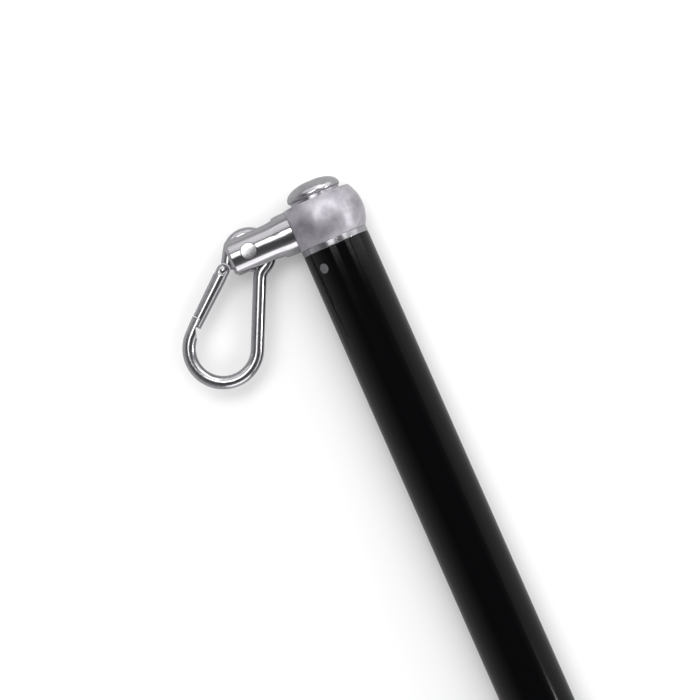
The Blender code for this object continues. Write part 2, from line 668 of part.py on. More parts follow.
def hook_frame(pivot):
    """The bent wire, with the bar that closes its eye, the tongue for the gate and the cut-back nose."""
    points = [(p.x - PIN_IN_HOOK.x, p.y - PIN_IN_HOOK.y, 0) for p in hook_centreline()]
    wire = wire_mesh("hook_frame", points, WIRE_RADIUS, 4)
    frame = add_piece("hook_frame", wire, polished_steel("hook_steel"), parent=pivot)
    bar = cylinder_mesh("eye_bar", EYE_BAR_DIAMETER / 2, 2 * EYE_RADIUS - WIRE_RADIUS, 12)
    bar_x = -PIN_IN_HOOK.x
    fuse(frame, "eye_bar", bar, location=(bar_x, -EYE_BAR_BELOW_PIN, 0), rotation=(0, math.pi / 2, 0), parent=pivot)
    rivet = RIVET_IN_HOOK - PIN_IN_HOOK
    clear = GATE_RADIUS + SEAT_GAP
    cheek_depth = WIRE_DIAMETER
    for name, side in (("cheek_room_upper", 1), ("cheek_room_lower", -1)):
        room = cylinder_mesh(name, clear, cheek_depth, SMALL_STEPS)
        height = side * (TONGUE_THICKNESS / 2 + cheek_depth / 2)
        cut(frame, name, room, location=(rivet.x, rivet.y, height), parent=pivot)
    tongue = cylinder_mesh("tongue", TONGUE_RADIUS, TONGUE_THICKNESS, SMALL_STEPS)
    fuse(frame, "tongue", tongue, location=(rivet.x, rivet.y, 0), parent=pivot)
    hole = cylinder_mesh("tongue_hole", RIVET_DIAMETER / 2 + SMALL_GAP, WIRE_DIAMETER * 2, 16)
    cut(frame, "tongue_hole", hole, location=(rivet.x, rivet.y, 0), parent=pivot)
    nose = outline_mesh("nose_cut", [p - PIN_IN_HOOK for p in nose_cut_outline()], WIRE_DIAMETER)
    cut(frame, "nose_cut", nose, parent=pivot)
    return frame


def hook_gate(pivot):
    """The sprung gate, turned round with a domed hinge end, slotted for the tongue and stepped at its tip."""
    length = GATE_LINE.length + NOSE_STEP_DEPTH
    tip = GATE_TIP_DIAMETER / 2
    dome = [
        (GATE_RADIUS * math.sin(a), GATE_RADIUS * math.cos(a))
        for a in (math.pi / 2 * i / 6 for i in range(7))
    ]
    profile = dome + [(tip, -length), (0, -length)]
    turn = math.atan2(GATE_LINE.x, -GATE_LINE.y)
    rotation = (math.pi / 2, 0, 0)
    holder = new_empty("gate_direction", (0, 0, 0), pivot)
    holder.rotation_euler = (0, 0, turn)
    # in the holder's space the gate runs along -Y, and +X points into the hook
    upright = (-math.pi / 2, 0, 0)
    steel = polished_steel("gate_steel")
    gate = turned_piece("hook_gate", profile, steel, steps=22, rotation=upright, parent=holder)
    slot_half = TONGUE_THICKNESS / 2 + SMALL_GAP
    slot_reach = TONGUE_RADIUS + SMALL_GAP
    slot = box_mesh("gate_slot", (-GATE_DIAMETER, -slot_reach, -slot_half), (GATE_DIAMETER, GATE_DIAMETER, slot_half))
    cut(gate, "gate_slot", slot, parent=holder)
    hole = cylinder_mesh("gate_rivet_hole", RIVET_DIAMETER / 2 + SMALL_GAP, GATE_DIAMETER * 2, 16)
    cut(gate, "gate_rivet_hole", hole, parent=holder)
    bore_length = PLUNGER_LENGTH + SPRING_LENGTH + 2 * SMALL_GAP
    bore = cylinder_mesh("gate_bore", PLUNGER_DIAMETER / 2 + SMALL_GAP, bore_length + slot_reach, 16)
    bore_place = (0, -(bore_length + slot_reach) / 2, 0)
    cut(gate, "gate_bore", bore, location=bore_place, rotation=rotation, parent=holder)
    step_x = -WIRE_RADIUS + WIRE_DIAMETER * LIP_SHARE + SEAT_GAP
    lip_y = -GATE_LINE.length + SEAT_GAP
    low = (-GATE_DIAMETER, -2 * length, -GATE_DIAMETER)
    high = (step_x, lip_y, GATE_DIAMETER)
    cut(gate, "gate_tip_cut", box_mesh("gate_tip_cut", low, high), parent=holder)
    return holder


def gate_inner_pieces(pivot, holder):
    """The rivet that the gate turns on, and the plunger and spring inside the gate that push it shut."""
    radius = RIVET_DIAMETER / 2
    face = GATE_RADIUS
    top = face + RIVET_HEAD_RISE
    profile = [
        (0, top),
        (radius * 0.6, top - RIVET_HEAD_RISE * 0.3),
        (radius, face - RIVET_HEAD_RISE),
        (radius, RIVET_HEAD_RISE - face),
        (radius * 0.6, RIVET_HEAD_RISE * 0.3 - top),
        (0, -top),
    ]
    turned_piece("gate_rivet", profile, polished_steel("rivet_steel"), steps=16, parent=pivot)
    start = TONGUE_RADIUS + SMALL_GAP
    plunger_radius = PLUNGER_DIAMETER / 2
    plunger_profile = [
        (0, 0),
        (plunger_radius * 0.7, -plunger_radius * 0.3),
        (plunger_radius, -plunger_radius),
        (plunger_radius, -PLUNGER_LENGTH),
        (0, -PLUNGER_LENGTH),
    ]
    upright = (-math.pi / 2, 0, 0)
    steel = satin_steel("plunger_steel")
    place = {"location": (0, -start, 0), "rotation": upright, "parent": holder}
    turned_piece("gate_plunger", plunger_profile, steel, steps=16, **place)
    coil_radius = plunger_radius - SPRING_WIRE / 2
    foot = start + PLUNGER_LENGTH + SMALL_GAP + SPRING_WIRE / 2
    rise = SPRING_LENGTH - SPRING_WIRE
    count = SPRING_TURNS * 10 + 1
    coil = []
    for i in range(count):
        share = i / (count - 1)
        angle = math.tau * SPRING_TURNS * share
        coil.append((coil_radius * math.cos(angle), -foot - rise * share, coil_radius * math.sin(angle)))
    spring = wire_mesh("gate_spring", coil, SPRING_WIRE / 2, 1)
    add_piece("gate_spring", spring, new_material("spring_steel", (0.4, 0.4, 0.4), 0.3, 1.0), parent=holder)


def build():
    tube = pole_tube()
    insert = head_insert()
    insert_pins(tube, insert)
    swivel_spindle()
    spindle_fastenings()
    domed_cap()
    foot_end()
    head_pivot = new_empty("head_swivel_axis", (BALL_X, 0, 0))
    ball_head(head_pivot)
    bushes(head_pivot)
    clevis_arm(head_pivot)
    lock_screw(head_pivot)
    clevis_pin(head_pivot)
    hook_pivot = new_empty("hook_swing_axis", (0, ARM_PIN_REACH, 0), head_pivot)
    hook_pivot.rotation_euler = (0, 0, -math.pi / 2 - HOOK_REST_SWING)
    bpy.context.view_layer.update()
    hook_frame(hook_pivot)
    rivet = RIVET_IN_HOOK - PIN_IN_HOOK
    gate_pivot = new_empty("gate_axis", (rivet.x, rivet.y, 0), hook_pivot)
    holder = hook_gate(gate_pivot)
    gate_inner_pieces(gate_pivot, holder)


build()
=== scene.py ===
import json
import math

import bmesh
import bpy
from mathutils import Matrix, Vector


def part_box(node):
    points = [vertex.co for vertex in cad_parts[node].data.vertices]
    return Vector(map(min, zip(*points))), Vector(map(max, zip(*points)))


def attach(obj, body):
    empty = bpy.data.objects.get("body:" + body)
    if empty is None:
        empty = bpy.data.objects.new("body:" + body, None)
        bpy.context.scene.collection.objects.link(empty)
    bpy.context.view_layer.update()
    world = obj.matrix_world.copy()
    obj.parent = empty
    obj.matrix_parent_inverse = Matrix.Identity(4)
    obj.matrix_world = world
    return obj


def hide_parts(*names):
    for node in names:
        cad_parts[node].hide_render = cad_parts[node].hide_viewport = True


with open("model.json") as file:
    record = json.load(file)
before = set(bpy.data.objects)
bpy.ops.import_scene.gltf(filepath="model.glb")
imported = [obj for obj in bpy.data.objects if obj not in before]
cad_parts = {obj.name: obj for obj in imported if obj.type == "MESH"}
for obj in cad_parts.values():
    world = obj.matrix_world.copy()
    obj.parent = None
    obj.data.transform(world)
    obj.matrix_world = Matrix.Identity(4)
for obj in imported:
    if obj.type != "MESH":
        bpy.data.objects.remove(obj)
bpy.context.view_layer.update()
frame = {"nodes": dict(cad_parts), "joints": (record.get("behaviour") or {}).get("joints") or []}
joints = {joint["name"]: joint for joint in frame["joints"]}


# Pole tube: drawn steel tube, sprayed with gloss black enamel and stoved. Its ends are sawn square and the
# sharp edges taken off, and it is cross-drilled below the top for the two pins that hold the head's insert.

tube_low, tube_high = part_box("pole_tube")
ball_low, ball_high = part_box("ball_head")
hairline = 0.00005                # what is left between faces that meet
tube_radius = tube_high.z
tube_wall = 0.0020
tube_edge = 0.0004
tube_sides = 160
tube_seat_gap = 0.0003            # the CAD leaves this between the tube and the collar
pin_radius = 0.0025
pin_hole_clearance = 0.00012

enamel_black = "030304"
enamel_sheen_patch = 0.018        # how far apart slightly duller and clearer patches lie
orange_peel = 0.0016              # size of the ripples a spray gun leaves
orange_peel_depth = 0.000004


def draw_outline(strokes, closed=False):
    """Draws edges in the XY plane: (x, y) is a corner, and (x, y, rounding) a rounded one.

    (x, y, angle, steps, rounding) swings the pen about the point (x, y), and rounds where it stops.
    """
    shape = bmesh.new()
    roundings = []
    first = None
    pen = None
    for x, y, *rest in strokes:
        if len(rest) == 3:
            angle, steps, rounding = rest
            swung = bmesh.ops.spin(
                shape, geom=[pen], cent=(x, y, 0), axis=(0, 0, 1), angle=angle, steps=steps
            )
            pen = next(item for item in swung["geom_last"] if isinstance(item, bmesh.types.BMVert))
        else:
            rounding = rest[0] if rest else 0
            corner = shape.verts.new((x, y, 0))
            if pen:
                shape.edges.new((pen, corner))
            pen = corner
        first = first or pen
        if rounding:
            roundings.append((pen, rounding))
    if closed:
        shape.edges.new((pen, first))
    for corner, rounding in roundings:
        bmesh.ops.bevel(
            shape, geom=[corner], offset=rounding, segments=5, profile=0.5, affect="VERTICES", material=-1
        )
    return shape


def turn(outline, steps, place=Matrix.Identity(4)):
    """Spins an outline about X into a turned shape, and puts it in its place."""
    geometry = outline.verts[:] + outline.edges[:]
    bmesh.ops.spin(
        outline, geom=geometry, cent=(0, 0, 0), axis=(1, 0, 0), angle=math.tau, steps=steps, use_merge=True
    )
    bmesh.ops.remove_doubles(outline, verts=outline.verts, dist=0.0000005)
    bmesh.ops.recalc_face_normals(outline, faces=outline.faces)
    bmesh.ops.transform(outline, matrix=place, verts=outline.verts)
    return outline


def rod(radius, length, sides, place=Matrix.Identity(4)):
    """A plain round rod about Z, centred on its place."""
    shape = bmesh.new()
    bmesh.ops.create_cone(
        shape, cap_ends=True, segments=sides, radius1=radius, radius2=radius, depth=length, matrix=place
    )
    return shape


def combine(shape, tool, operation):
    """Cuts one shape by another, or joins or intersects the two. Both are used up."""
    blanks = []
    for part in (shape, tool):
        mesh = bpy.data.meshes.new("blank")
        part.to_mesh(mesh)
        part.free()
        blank = bpy.data.objects.new("blank", mesh)
        bpy.context.scene.collection.objects.link(blank)
        blanks.append(blank)
    modifier = blanks[0].modifiers.new("combine", "BOOLEAN")
    modifier.operation = operation
    modifier.object = blanks[1]
    evaluated = blanks[0].evaluated_get(bpy.context.evaluated_depsgraph_get())
    made = bmesh.new()
    made.from_mesh(evaluated.to_mesh())
    evaluated.to_mesh_clear()
    for blank in blanks:
        bpy.data.meshes.remove(blank.data)
    bmesh.ops.remove_doubles(made, verts=made.verts, dist=0.0000005)
    return made


def ease_edges(shape, width, keep=lambda edge: True):
    """Rounds off the sharp edges that a cut has left, as deburring does."""
    sharp = [
        edge for edge in shape.edges
        if edge.is_manifold and edge.calc_face_angle() > math.radians(35) and keep(edge)
    ]
    bmesh.ops.bevel(
        shape, geom=sharp, offset=width, segments=3, profile=0.5, affect="EDGES", material=-1,
        clamp_overlap=False
    )
    return shape


def add_piece(name, shape, finish, body, node):
    """Makes a shape a piece of the object, riding on a body and standing for its CAD node."""
    mesh = bpy.data.meshes.new(name)
    shape.to_mesh(mesh)
    shape.free()
    mesh.materials.append(finish)
    mesh.shade_smooth()
    mesh.set_sharp_from_angle(angle=math.radians(38))
    piece = bpy.data.objects.new(name, mesh)
    bpy.context.scene.collection.objects.link(piece)
    weighted = piece.modifiers.new("flat faces stay flat", "WEIGHTED_NORMAL")
    weighted.keep_sharp = True
    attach(piece, body)
    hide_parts(node)


def linear(hex_colour):
    """An sRGB hex colour in linear light."""
    channels = [int(hex_colour[i:i + 2], 16) / 255 for i in (0, 2, 4)]
    return (*(c / 12.92 if c <= 0.04045 else ((c + 0.055) / 1.055) ** 2.4 for c in channels), 1)


def add_node(tree, kind, inputs, **settings):
    """Adds a shader node, makes its settings, and gives each input its value or link."""
    node = tree.nodes.new("ShaderNode" + kind)
    for name, value in settings.items():
        setattr(node, name, value)
    for name, value in inputs.items():
        if isinstance(value, bpy.types.NodeSocket):
            tree.links.new(value, node.inputs[name])
        else:
            node.inputs[name].default_value = value
    return node


def new_finish(name):
    """A material with an empty node tree."""
    finish = bpy.data.materials.new(name)
    finish.use_nodes = True
    finish.node_tree.nodes.clear()
    return finish, finish.node_tree


# Gloss black stoved enamel: sprayed and flowed out, so it mirrors like dark glass. The spray's faint orange
# peel ripples the long reflections, and slight changes of gloss keep them from looking machine-made.
enamel, tree = new_finish("gloss_black_enamel")
place = add_node(tree, "TexCoord", {})
peel = add_node(
    tree, "TexNoise", {"Vector": place.outputs["Object"], "Scale": 1 / orange_peel, "Detail": 1.0}
)
ripple = add_node(
    tree, "Bump", {"Height": peel.outputs["Fac"], "Distance": orange_peel_depth, "Strength": 1.0}
)
patch = add_node(
    tree, "TexNoise", {"Vector": place.outputs["Object"], "Scale": 1 / enamel_sheen_patch, "Detail": 3.0}
)
gloss = add_node(tree, "MapRange", {"Value": patch.outputs["Fac"], "To Min": 0.05, "To Max": 0.11})
shader = add_node(tree, "BsdfPrincipled", {
    "Base Color": linear(enamel_black), "Roughness": gloss.outputs["Result"], "Specular IOR Level": 0.35,
    "Normal": ripple.outputs["Normal"]
})
add_node(tree, "OutputMaterial", {"Surface": shader.outputs["BSDF"]})

tube_top = tube_high.x + tube_seat_gap - hairline
tube_outline = draw_outline([
    (tube_low.x, tube_radius - tube_wall),
    (tube_low.x, tube_radius, tube_edge),
    (tube_top, tube_radius, tube_edge),
    (tube_top, tube_radius - tube_wall),
], closed=True)
tube_shape = turn(tube_outline, tube_sides)
upper_pin_low, upper_pin_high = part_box("insert_pin_upper")
upper_pin_centre = (upper_pin_low + upper_pin_high) / 2
pin_x = upper_pin_centre.x
pin_turn = math.atan2(-upper_pin_centre.y, upper_pin_centre.z)
across_tube = Matrix.Translation((pin_x, 0, 0)) @ Matrix.Rotation(pin_turn, 4, "X")
pin_hole = rod(pin_radius + pin_hole_clearance, 4 * tube_radius, 48, across_tube)
tube_shape = combine(tube_shape, pin_hole, "DIFFERENCE")
add_piece("enamelled_tube", tube_shape, enamel, "pole", "pole_tube")


# Foot cap: a slip-on ferrule moulded in black EPDM rubber, pushed over the tube's foot. It has a bead at
# its mouth, grip rings round its sleeve and a groove in its tread. Inside, a pressed steel washer stops the
# tube cutting it.

cap_low, cap_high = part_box("foot_cap")
cap_radius = cap_high.z
cap_mouth = cap_high.x
ring_rise = 0.0006                # how far the bead and the rings stand off the sleeve
cap_body_radius = cap_radius - ring_rise
cap_base = 0.0060
cap_clearance = 0.0003
cap_bore_radius = tube_radius + cap_clearance
bead_length = 0.0045
grip_ring_pitch = 0.0050
grip_ring_width = 0.0018
grip_ring_count = 4
ring_slope = 0.0003
first_grip_ring = 0.0120
tread_groove_radius = 0.0120
tread_groove_width = 0.0016
tread_groove_depth = 0.0012
bore_rounding = 0.0005
mouth_rounding = 0.0011
bead_rounding = 0.0009
ring_rounding = 0.0004
groove_rounding = 0.0003
foot_rounding = 0.0025

rubber_black = "1b1b1c"
rubber_bloom = "2b2a2a"           # the grey bloom that rubber takes on
bloom_patch = 0.011
mould_grain = 0.0007              # the mould's spark-eroded grain, drawn about twice as coarse to show
mould_grain_depth = 0.00006

# Moulded EPDM rubber: black, soft and dull, with the mould's fine grain and a patchy grey bloom.
rubber, tree = new_finish("moulded_epdm_rubber")
place = add_node(tree, "TexCoord", {})
bloom = add_node(
    tree, "TexNoise", {"Vector": place.outputs["Object"], "Scale": 1 / bloom_patch, "Detail": 5.0}
)
black = add_node(tree, "ValToRGB", {"Fac": bloom.outputs["Fac"]})
black.color_ramp.elements[0].position = 0.38
black.color_ramp.elements[0].color = linear(rubber_black)
black.color_ramp.elements[1].position = 0.68
black.color_ramp.elements[1].color = linear(rubber_bloom)
grain = add_node(
    tree, "TexNoise", {"Vector": place.outputs["Object"], "Scale": 1 / mould_grain, "Detail": 2.0}
)
texture = add_node(
    tree, "Bump", {"Height": grain.outputs["Fac"], "Distance": mould_grain_depth, "Strength": 0.6}
)
dullness = add_node(tree, "MapRange", {"Value": bloom.outputs["Fac"], "To Min": 0.5, "To Max": 0.75})
shader = add_node(tree, "BsdfPrincipled", {
    "Base Color": black.outputs["Color"], "Roughness": dullness.outputs["Result"], "IOR": 1.52,
    "Normal": texture.outputs["Normal"]
})
add_node(tree, "OutputMaterial", {"Surface": shader.outputs["BSDF"]})

cap_strokes = [
    (cap_base, 0),
    (cap_base, cap_bore_radius, bore_rounding),
    (cap_mouth, cap_bore_radius, bore_rounding),
    (cap_mouth, cap_radius, mouth_rounding),
    (cap_mouth - bead_length, cap_radius, bead_rounding),
    (cap_mouth - bead_length - ring_rise, cap_body_radius, ring_rounding),
]
for ring in reversed(range(grip_ring_count)):
    ring_start = first_grip_ring + ring * grip_ring_pitch
    cap_strokes += [
        (ring_start + grip_ring_width + ring_slope, cap_body_radius, groove_rounding),
        (ring_start + grip_ring_width, cap_radius, ring_rounding),
        (ring_start, cap_radius, ring_rounding),
        (ring_start - ring_slope, cap_body_radius, groove_rounding),
    ]
cap_strokes += [
    (cap_low.x, cap_body_radius, foot_rounding),
    (cap_low.x, tread_groove_radius + tread_groove_width / 2, groove_rounding),
    (cap_low.x + tread_groove_depth, tread_groove_radius + tread_groove_width / 2, groove_rounding),
    (cap_low.x + tread_groove_depth, tread_groove_radius - tread_groove_width / 2, groove_rounding),
    (cap_low.x, tread_groove_radius - tread_groove_width / 2, groove_rounding),
    (cap_low.x, 0),
]
cap_shape = turn(draw_outline(cap_strokes), steps=128)
add_piece("rubber_foot", cap_shape, rubber, "pole", "foot_cap")


# Hidden fastenings: the foot washer, the spindle with its nut and split washer, and the grub screw in the
# ball. They are of zinc-plated steel, are out of sight once the object is put together, and keep their CAD
# shapes.

zinc_light = "c4c6c8"
zinc_dark = "9c9ea2"
zinc_spangle = 0.004              # patches where the plating took differently
tool_mark = 0.0004                # feed marks of the turning tool, drawn coarser than the real 0.1 mm
tool_mark_length = 0.025
tool_mark_depth = 0.00001

# Zinc-plated steel: a bright grey skin with cloudy patches and faint tool marks from the turning under it.
zinc, tree = new_finish("zinc_plated_steel")
place = add_node(tree, "TexCoord", {})
spangle = add_node(
    tree, "TexNoise", {"Vector": place.outputs["Object"], "Scale": 1 / zinc_spangle, "Detail": 4.0}
)
skin = add_node(tree, "ValToRGB", {"Fac": spangle.outputs["Fac"]})
skin.color_ramp.elements[0].position = 0.35
skin.color_ramp.elements[0].color = linear(zinc_dark)
skin.color_ramp.elements[1].position = 0.65
skin.color_ramp.elements[1].color = linear(zinc_light)
along = add_node(tree, "Mapping", {
    "Vector": place.outputs["Object"],
    "Scale": (1 / tool_mark, 1 / tool_mark_length, 1 / tool_mark_length)
})
marks = add_node(tree, "TexNoise", {"Vector": along.outputs["Vector"], "Scale": 1.0, "Detail": 1.0})
cuts = add_node(
    tree, "Bump", {"Height": marks.outputs["Fac"], "Distance": tool_mark_depth, "Strength": 0.5}
)
dullness = add_node(tree, "MapRange", {"Value": spangle.outputs["Fac"], "To Min": 0.22, "To Max": 0.42})
shader = add_node(tree, "BsdfPrincipled", {
    "Base Color": skin.outputs["Color"], "Metallic": 1.0, "Roughness": dullness.outputs["Result"],
    "Normal": cuts.outputs["Normal"]
})
add_node(tree, "OutputMaterial", {"Surface": shader.outputs["BSDF"]})


def refinish(node, finish):
    """Gives a CAD node that keeps its shape a finish and a slot."""
    piece = frame["nodes"][node]
    piece.data.materials.clear()
    piece.data.materials.append(finish)


for node in ("foot_washer", "spindle_lock_washer", "spindle_nut", "arm_lock_screw"):
    refinish(node, zinc)
refinish("swivel_spindle", zinc)


# Head insert: a plug turned from stainless bar and pushed into the tube's top. Only its collar shows, a
# polished ring flush with the tube, and the two pins through the tube's wall hold it.

insert_low, insert_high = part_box("head_insert")
ring_height = 0.0027
ring_edge = 0.00028
insert_bore_radius = 0.0053
insert_clearance = 0.0003
insert_radius = tube_radius - tube_wall - insert_clearance
insert_foot_edge = 0.0004
pin_hole_length = 0.0170

stainless = "d3d1d5"
stainless_shade = "bdbbc0"
feed_mark = 0.00025               # one pass of the turning tool, drawn coarser than the real 0.1 mm to show
smear_size = 0.006                # patches where the polish is a little duller
smear_dulling = 1.5
polished_groove = 0.0000012
faced_groove = 0.000012


def turned_stainless(name, axis, centre, roughness, groove_depth):
    """Stainless steel turned on a lathe and polished: bright, with hair-fine rings left round the axis.

    The rings spread each reflection across them, so a turned face shows two bright and two dull sectors.
    """
    finish, tree = new_finish(name)
    place = add_node(tree, "TexCoord", {})
    offset = add_node(
        tree, "VectorMath", {0: place.outputs["Object"], 1: centre}, operation="SUBTRACT"
    )
    off_axis = add_node(
        tree, "VectorMath", {0: offset.outputs["Vector"], 1: Vector((1, 1, 1)) - axis}, operation="MULTIPLY"
    )
    radius = add_node(tree, "VectorMath", {0: off_axis.outputs["Vector"]}, operation="LENGTH")
    along = add_node(tree, "VectorMath", {0: offset.outputs["Vector"], 1: axis}, operation="DOT_PRODUCT")
    ring = add_node(tree, "CombineXYZ", {"X": radius.outputs["Value"], "Y": along.outputs["Value"]})
    marks = add_node(
        tree, "TexNoise", {"Vector": ring.outputs["Vector"], "Scale": 1 / feed_mark, "Detail": 2.0}
    )
    cuts = add_node(
        tree, "Bump", {"Height": marks.outputs["Fac"], "Distance": groove_depth, "Strength": 1.0}
    )
    smear = add_node(
        tree, "TexNoise", {"Vector": place.outputs["Object"], "Scale": 1 / smear_size, "Detail": 4.0}
    )
    tone = add_node(tree, "ValToRGB", {"Fac": smear.outputs["Fac"]})
    tone.color_ramp.elements[0].position = 0.3
    tone.color_ramp.elements[0].color = linear(stainless_shade)
    tone.color_ramp.elements[1].position = 0.6
    tone.color_ramp.elements[1].color = linear(stainless)
    dullness = add_node(tree, "MapRange", {
        "Value": smear.outputs["Fac"], "To Min": roughness, "To Max": roughness * smear_dulling
    })
    shader = add_node(tree, "BsdfPrincipled", {
        "Base Color": tone.outputs["Color"], "Metallic": 1.0, "Roughness": dullness.outputs["Result"],
        "Normal": cuts.outputs["Normal"]
    })
    add_node(tree, "OutputMaterial", {"Surface": shader.outputs["BSDF"]})
    return finish


head_centre = Vector(joints["head_swivel"]["pos_m"])
along_pole = Vector((1, 0, 0))
ring_steel = turned_stainless(
    "turned_stainless_collar", along_pole, head_centre, roughness=0.16, groove_depth=polished_groove
)
ring_top = ball_low.x - hairline
ring_foot = insert_high.x - ring_height
insert_outline = draw_outline([
    (ring_top, insert_bore_radius),
    (ring_top, tube_radius, ring_edge),
    (ring_foot, tube_radius, ring_edge),
    (ring_foot, insert_radius),
    (insert_low.x, insert_radius, insert_foot_edge),
    (insert_low.x, insert_bore_radius),
], closed=True)
insert_shape = turn(insert_outline, tube_sides)
for side in (1, -1):
    hole_place = across_tube @ Matrix.Translation((0, 0, side * tube_radius))
    pin_hole = rod(pin_radius + pin_hole_clearance, pin_hole_length, 48, hole_place)
    insert_shape = combine(insert_shape, pin_hole, "DIFFERENCE")
add_piece("collar_and_plug", insert_shape, ring_steel, "pole", "head_insert")


# Insert pins: two short lengths of hardened steel rod, driven through the tube's wall into the insert and
# linished flush, so their ends follow the tube's curve. They keep the dull grey of heat treatment.

pin_length = 0.0085
pin_below_surface = 0.00003
pin_edge = 0.00022
pin_spare = 0.002                 # extra length on the blank, which linishing takes off
hardened_grey = "838286"
hardened_dark = "68676b"
linish_mark = 0.0005              # belt marks across the pin's end, drawn coarser than the real 0.15 mm
linish_mark_length = 0.006
linish_mark_depth = 0.00001

# Hardened steel rod: heat treatment leaves it a dull mid grey, and the linishing belt leaves fine straight
# scratches.
hardened, tree = new_finish("linished_hardened_steel")
place = add_node(tree, "TexCoord", {})
scratch_map = add_node(tree, "Mapping", {
    "Vector": place.outputs["Object"], "Scale": (1 / linish_mark_length, 1 / linish_mark, 1 / linish_mark)
})
scratches = add_node(
    tree, "TexNoise", {"Vector": scratch_map.outputs["Vector"], "Scale": 1.0, "Detail": 3.0}
)
grey = add_node(tree, "ValToRGB", {"Fac": scratches.outputs["Fac"]})
grey.color_ramp.elements[0].position = 0.3
grey.color_ramp.elements[0].color = linear(hardened_dark)
grey.color_ramp.elements[1].position = 0.7
grey.color_ramp.elements[1].color = linear(hardened_grey)
grooves = add_node(
    tree, "Bump", {"Height": scratches.outputs["Fac"], "Distance": linish_mark_depth, "Strength": 0.6}
)
shader = add_node(tree, "BsdfPrincipled", {
    "Base Color": grey.outputs["Color"], "Metallic": 0.6, "Roughness": 0.5,
    "Normal": grooves.outputs["Normal"]
})
add_node(tree, "OutputMaterial", {"Surface": shader.outputs["BSDF"]})

for name, side in (("insert_pin_upper", 1), ("insert_pin_lower", -1)):
    pin_middle = tube_radius - pin_length / 2 + pin_spare / 2
    pin_place = across_tube @ Matrix.Translation((0, 0, side * pin_middle))
    pin_blank = rod(pin_radius, pin_length + pin_spare, 64, pin_place)
    tube_skin = turn(draw_outline([
        (pin_x - 4 * pin_radius, 0),
        (pin_x - 4 * pin_radius, tube_radius - pin_below_surface),
        (pin_x + 4 * pin_radius, tube_radius - pin_below_surface),
        (pin_x + 4 * pin_radius, 0),
    ]), tube_sides)
    pin_shape = ease_edges(combine(pin_blank, tube_skin, "INTERSECT"), pin_edge)
    add_piece(f"flush_{name}", pin_shape, hardened, "pole", name)


# Ball head: a stainless ball, faced flat at both ends, bored for its bushes and flatted on one side where
# the arm screws in. It is bead-blasted and tumbled to a soft satin.

ball_radius = ball_high.z
ball_half = (ball_high.x - ball_low.x) / 2
ball_edge = 0.00022
ball_bore_radius = 0.0078
flange_recess_radius = 0.0108
flange_recess_depth = 0.0015
arm_seat_y = ball_high.y
stud_hole_radius = 0.0053
stud_hole_middle = 0.0155
stud_hole_length = 0.0200
ball_sides = 192

ball_light = "e2dfe6"
ball_cloud = "b9b6be"
cloud_size = 0.010                # soft clouds where the blasting was heavier
bead_size = 0.0004                # dimples of the glass beads, drawn about four times too coarse to show
bead_depth = 0.000008

# Bead-blasted stainless: thousands of tiny dimples scatter the light, so it shows soft clouds and one broad
# highlight instead of reflections.
satin, tree = new_finish("bead_blasted_stainless")
place = add_node(tree, "TexCoord", {})
cloud = add_node(tree, "TexNoise", {
    "Vector": place.outputs["Object"], "Scale": 1 / cloud_size, "Detail": 4.0, "Roughness": 0.6,
    "Distortion": 0.15
})
tone = add_node(tree, "ValToRGB", {"Fac": cloud.outputs["Fac"]})
tone.color_ramp.elements[0].position = 0.36
tone.color_ramp.elements[0].color = linear(ball_cloud)
tone.color_ramp.elements[1].position = 0.62
tone.color_ramp.elements[1].color = linear(ball_light)
dullness = add_node(tree, "MapRange", {
    "Value": cloud.outputs["Fac"], "From Min": 0.3, "From Max": 0.7, "To Min": 0.52, "To Max": 0.46
})
dimples = add_node(
    tree, "TexNoise", {"Vector": place.outputs["Object"], "Scale": 1 / bead_size, "Detail": 1.0}
)
beads = add_node(tree, "Bump", {"Height": dimples.outputs["Fac"], "Distance": bead_depth, "Strength": 0.6})
shader = add_node(tree, "BsdfPrincipled", {
    "Base Color": tone.outputs["Color"], "Metallic": 1.0, "Roughness": dullness.outputs["Result"],
    "Normal": beads.outputs["Normal"]
})
add_node(tree, "OutputMaterial", {"Surface": shader.outputs["BSDF"]})

face_radius = math.sqrt(ball_radius ** 2 - ball_half ** 2)
face_angle = math.asin(ball_half / ball_radius)
ball_outline = draw_outline([
    (-ball_half + flange_recess_depth, ball_bore_radius),
    (-ball_half + flange_recess_depth, flange_recess_radius),
    (-ball_half, flange_recess_radius),
    (-ball_half, face_radius, ball_edge),
    (0, 0, -2 * face_angle, 56, ball_edge),
    (ball_half, flange_recess_radius),
    (ball_half - flange_recess_depth, flange_recess_radius),
    (ball_half - flange_recess_depth, ball_bore_radius),
], closed=True)
ball_shape = turn(ball_outline, ball_sides, Matrix.Translation(head_centre))
ball_geometry = ball_shape.verts[:] + ball_shape.edges[:] + ball_shape.faces[:]
seat_cut = bmesh.ops.bisect_plane(
    ball_shape, geom=ball_geometry, plane_co=(0, arm_seat_y, 0), plane_no=(0, 1, 0), clear_outer=True
)
seat_rim = [item for item in seat_cut["geom_cut"] if isinstance(item, bmesh.types.BMEdge)]
bmesh.ops.edgeloop_fill(ball_shape, edges=seat_rim)
on_seat_rim = {edge for edge in seat_rim if edge.is_valid}
ease_edges(ball_shape, ball_edge, keep=lambda edge: edge in on_seat_rim)
along_arm = Matrix.Rotation(math.radians(-90), 4, "X")
stud_place = Matrix.Translation((head_centre.x, stud_hole_middle, 0)) @ along_arm
stud_hole = rod(stud_hole_radius, stud_hole_length, 64, stud_place)
ball_shape = combine(ball_shape, stud_hole, "DIFFERENCE")
add_piece("satin_ball", ball_shape, satin, "head", "ball_head")


# Bushes: two flanged bearing bushes pressed into the ball, turned from black acetal rod. Only a hairline of
# their flanges could ever be seen, between the collar and the ball, so their CAD shapes stay.

acetal_black = "1d1d1f"
acetal_grain = 0.0009
acetal_grain_depth = 0.00001

